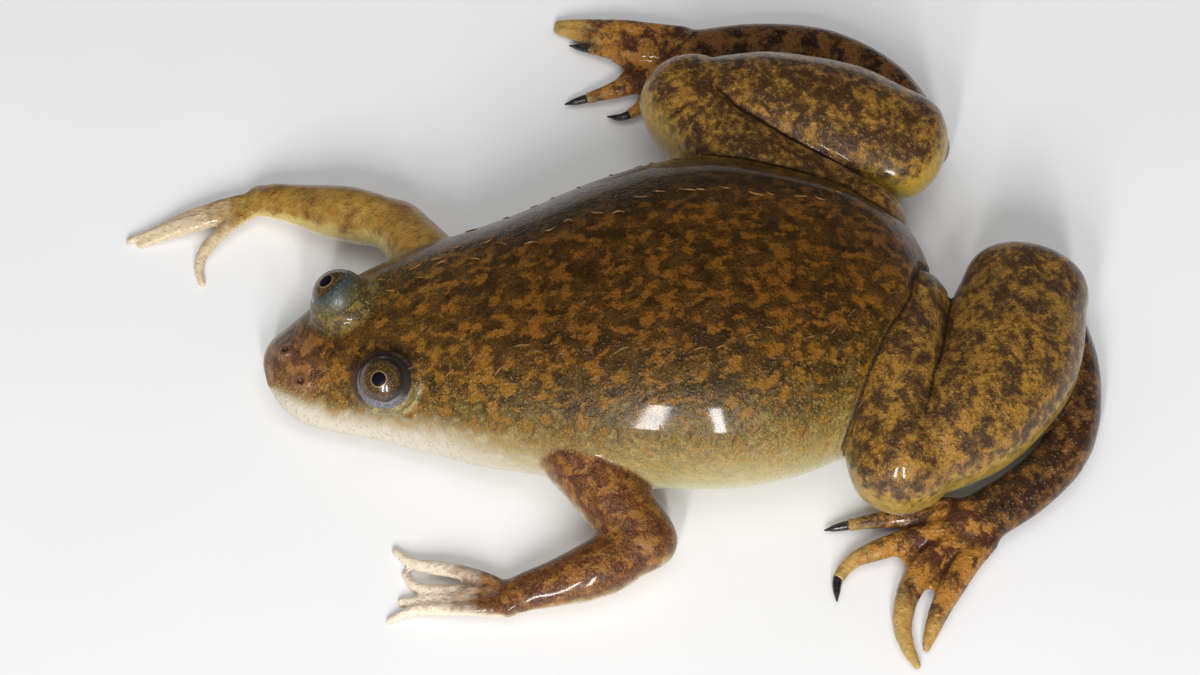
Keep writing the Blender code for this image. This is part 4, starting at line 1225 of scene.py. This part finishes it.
class FROG_OT_stage(bpy.types.Operator):
    """Makes the pale floor, the soft lights and the camera"""
    bl_idname = "frog.stage"
    bl_label = "Studio"

    def execute(self, context):
        scene, settings = context.scene, context.scene.frog_studio
        target = Vector(to_frame(TARGET))
        az, el = settings.azimuth, settings.elevation
        back = Vector((math.sin(az) * math.cos(el), -math.cos(az) * math.cos(el), math.sin(el)))
        lens = bpy.data.cameras.new("camera")
        lens.lens, lens.sensor_width = settings.lens, SENSOR_WIDTH
        scene.camera = self.aimed(lens, target + back * settings.distance, back)
        for name, place, size, watts, mirrored in LAMPS:
            lamp = bpy.data.lights.new(name, "AREA")
            lamp.shape, lamp.energy = "RECTANGLE", watts
            lamp.size, lamp.size_y = size
            self.aimed(lamp, Vector(place), Vector(place) - target).visible_glossy = mirrored
        self.add_floor(settings.floor)
        self.light_sky(scene)
        scene.view_settings.view_transform = "Standard"
        return {"FINISHED"}

    def aimed(self, data, place, away):
        """A camera or lamp that looks the opposite way to away."""
        made = bpy.data.objects.new(data.name, data)
        bpy.context.scene.collection.objects.link(made)
        made.matrix_world = Matrix.Translation(place) @ basis(UP.cross(away), away).to_4x4()
        return made

    def add_floor(self, tint):
        shape = bmesh.new()
        bmesh.ops.create_circle(shape, cap_ends=True, segments=96, radius=FLOOR_RADIUS)
        sh = Shader("studio_floor", Roughness=0.6)
        paler = [min(1.0, c * 1.02) for c in tint]
        sh.feed("Base Color", sh.mix(sh.noise(0.02, 2.0, 0.5).smooth(0.3, 0.7), tint, paler))
        finish_mesh(shape, "floor", sh.material)

    def light_sky(self, scene):
        """Fills the scene from all round, and keeps that light out of the reflections."""
        scene.world = world = scene.world or bpy.data.worlds.new("studio")
        world.use_nodes = True
        sky = Tree(world.node_tree)
        surface = next(n for n in world.node_tree.nodes if n.type == "BACKGROUND")
        surface.inputs["Color"].default_value = SKY
        mirrored = sky.node("ShaderNodeLightPath").outputs["Is Glossy Ray"]
        fill = sky.node(
            "ShaderNodeMapRange", {}, {"Value": mirrored, "To Min": FILL, "To Max": FILL_MIRRORED})
        world.node_tree.links.new(fill.outputs["Result"], surface.inputs["Strength"])


OPERATORS = [FROG_OT_stage, FROG_OT_skin, FROG_OT_eyes, FROG_OT_lateral_line, FROG_OT_claws]
SETTINGS = {
    "frog_skin": FrogSkinSettings,
    "frog_eye": FrogEyeSettings,
    "frog_parts": FrogPartSettings,
    "frog_studio": FrogStudioSettings,
}


class FROG_PT_panel(bpy.types.Panel):
    bl_label = "African clawed frog"
    bl_idname = "FROG_PT_panel"
    bl_space_type = "VIEW_3D"
    bl_region_type = "UI"
    bl_category = "Frog"

    def draw(self, context):
        for operator in OPERATORS:
            self.layout.operator(operator.bl_idname)
        for name, kind in SETTINGS.items():
            box = self.layout.box()
            for prop in kind.__annotations__:
                box.prop(getattr(context.scene, name), prop)


def register():
    for kind in (*SETTINGS.values(), *OPERATORS, FROG_PT_panel):
        bpy.utils.register_class(kind)
    for name, kind in SETTINGS.items():
        setattr(bpy.types.Scene, name, bpy.props.PointerProperty(type=kind))


def unregister():
    for name in SETTINGS:
        delattr(bpy.types.Scene, name)
    for kind in (FROG_PT_panel, *reversed(OPERATORS), *reversed(SETTINGS.values())):
        bpy.utils.unregister_class(kind)


def main():
    """Makes every piece in order."""
    register()
    for operator in OPERATORS:
        group, name = operator.bl_idname.split(".")
        getattr(getattr(bpy.ops, group), name)()


if __name__ == "__main__":
    main()
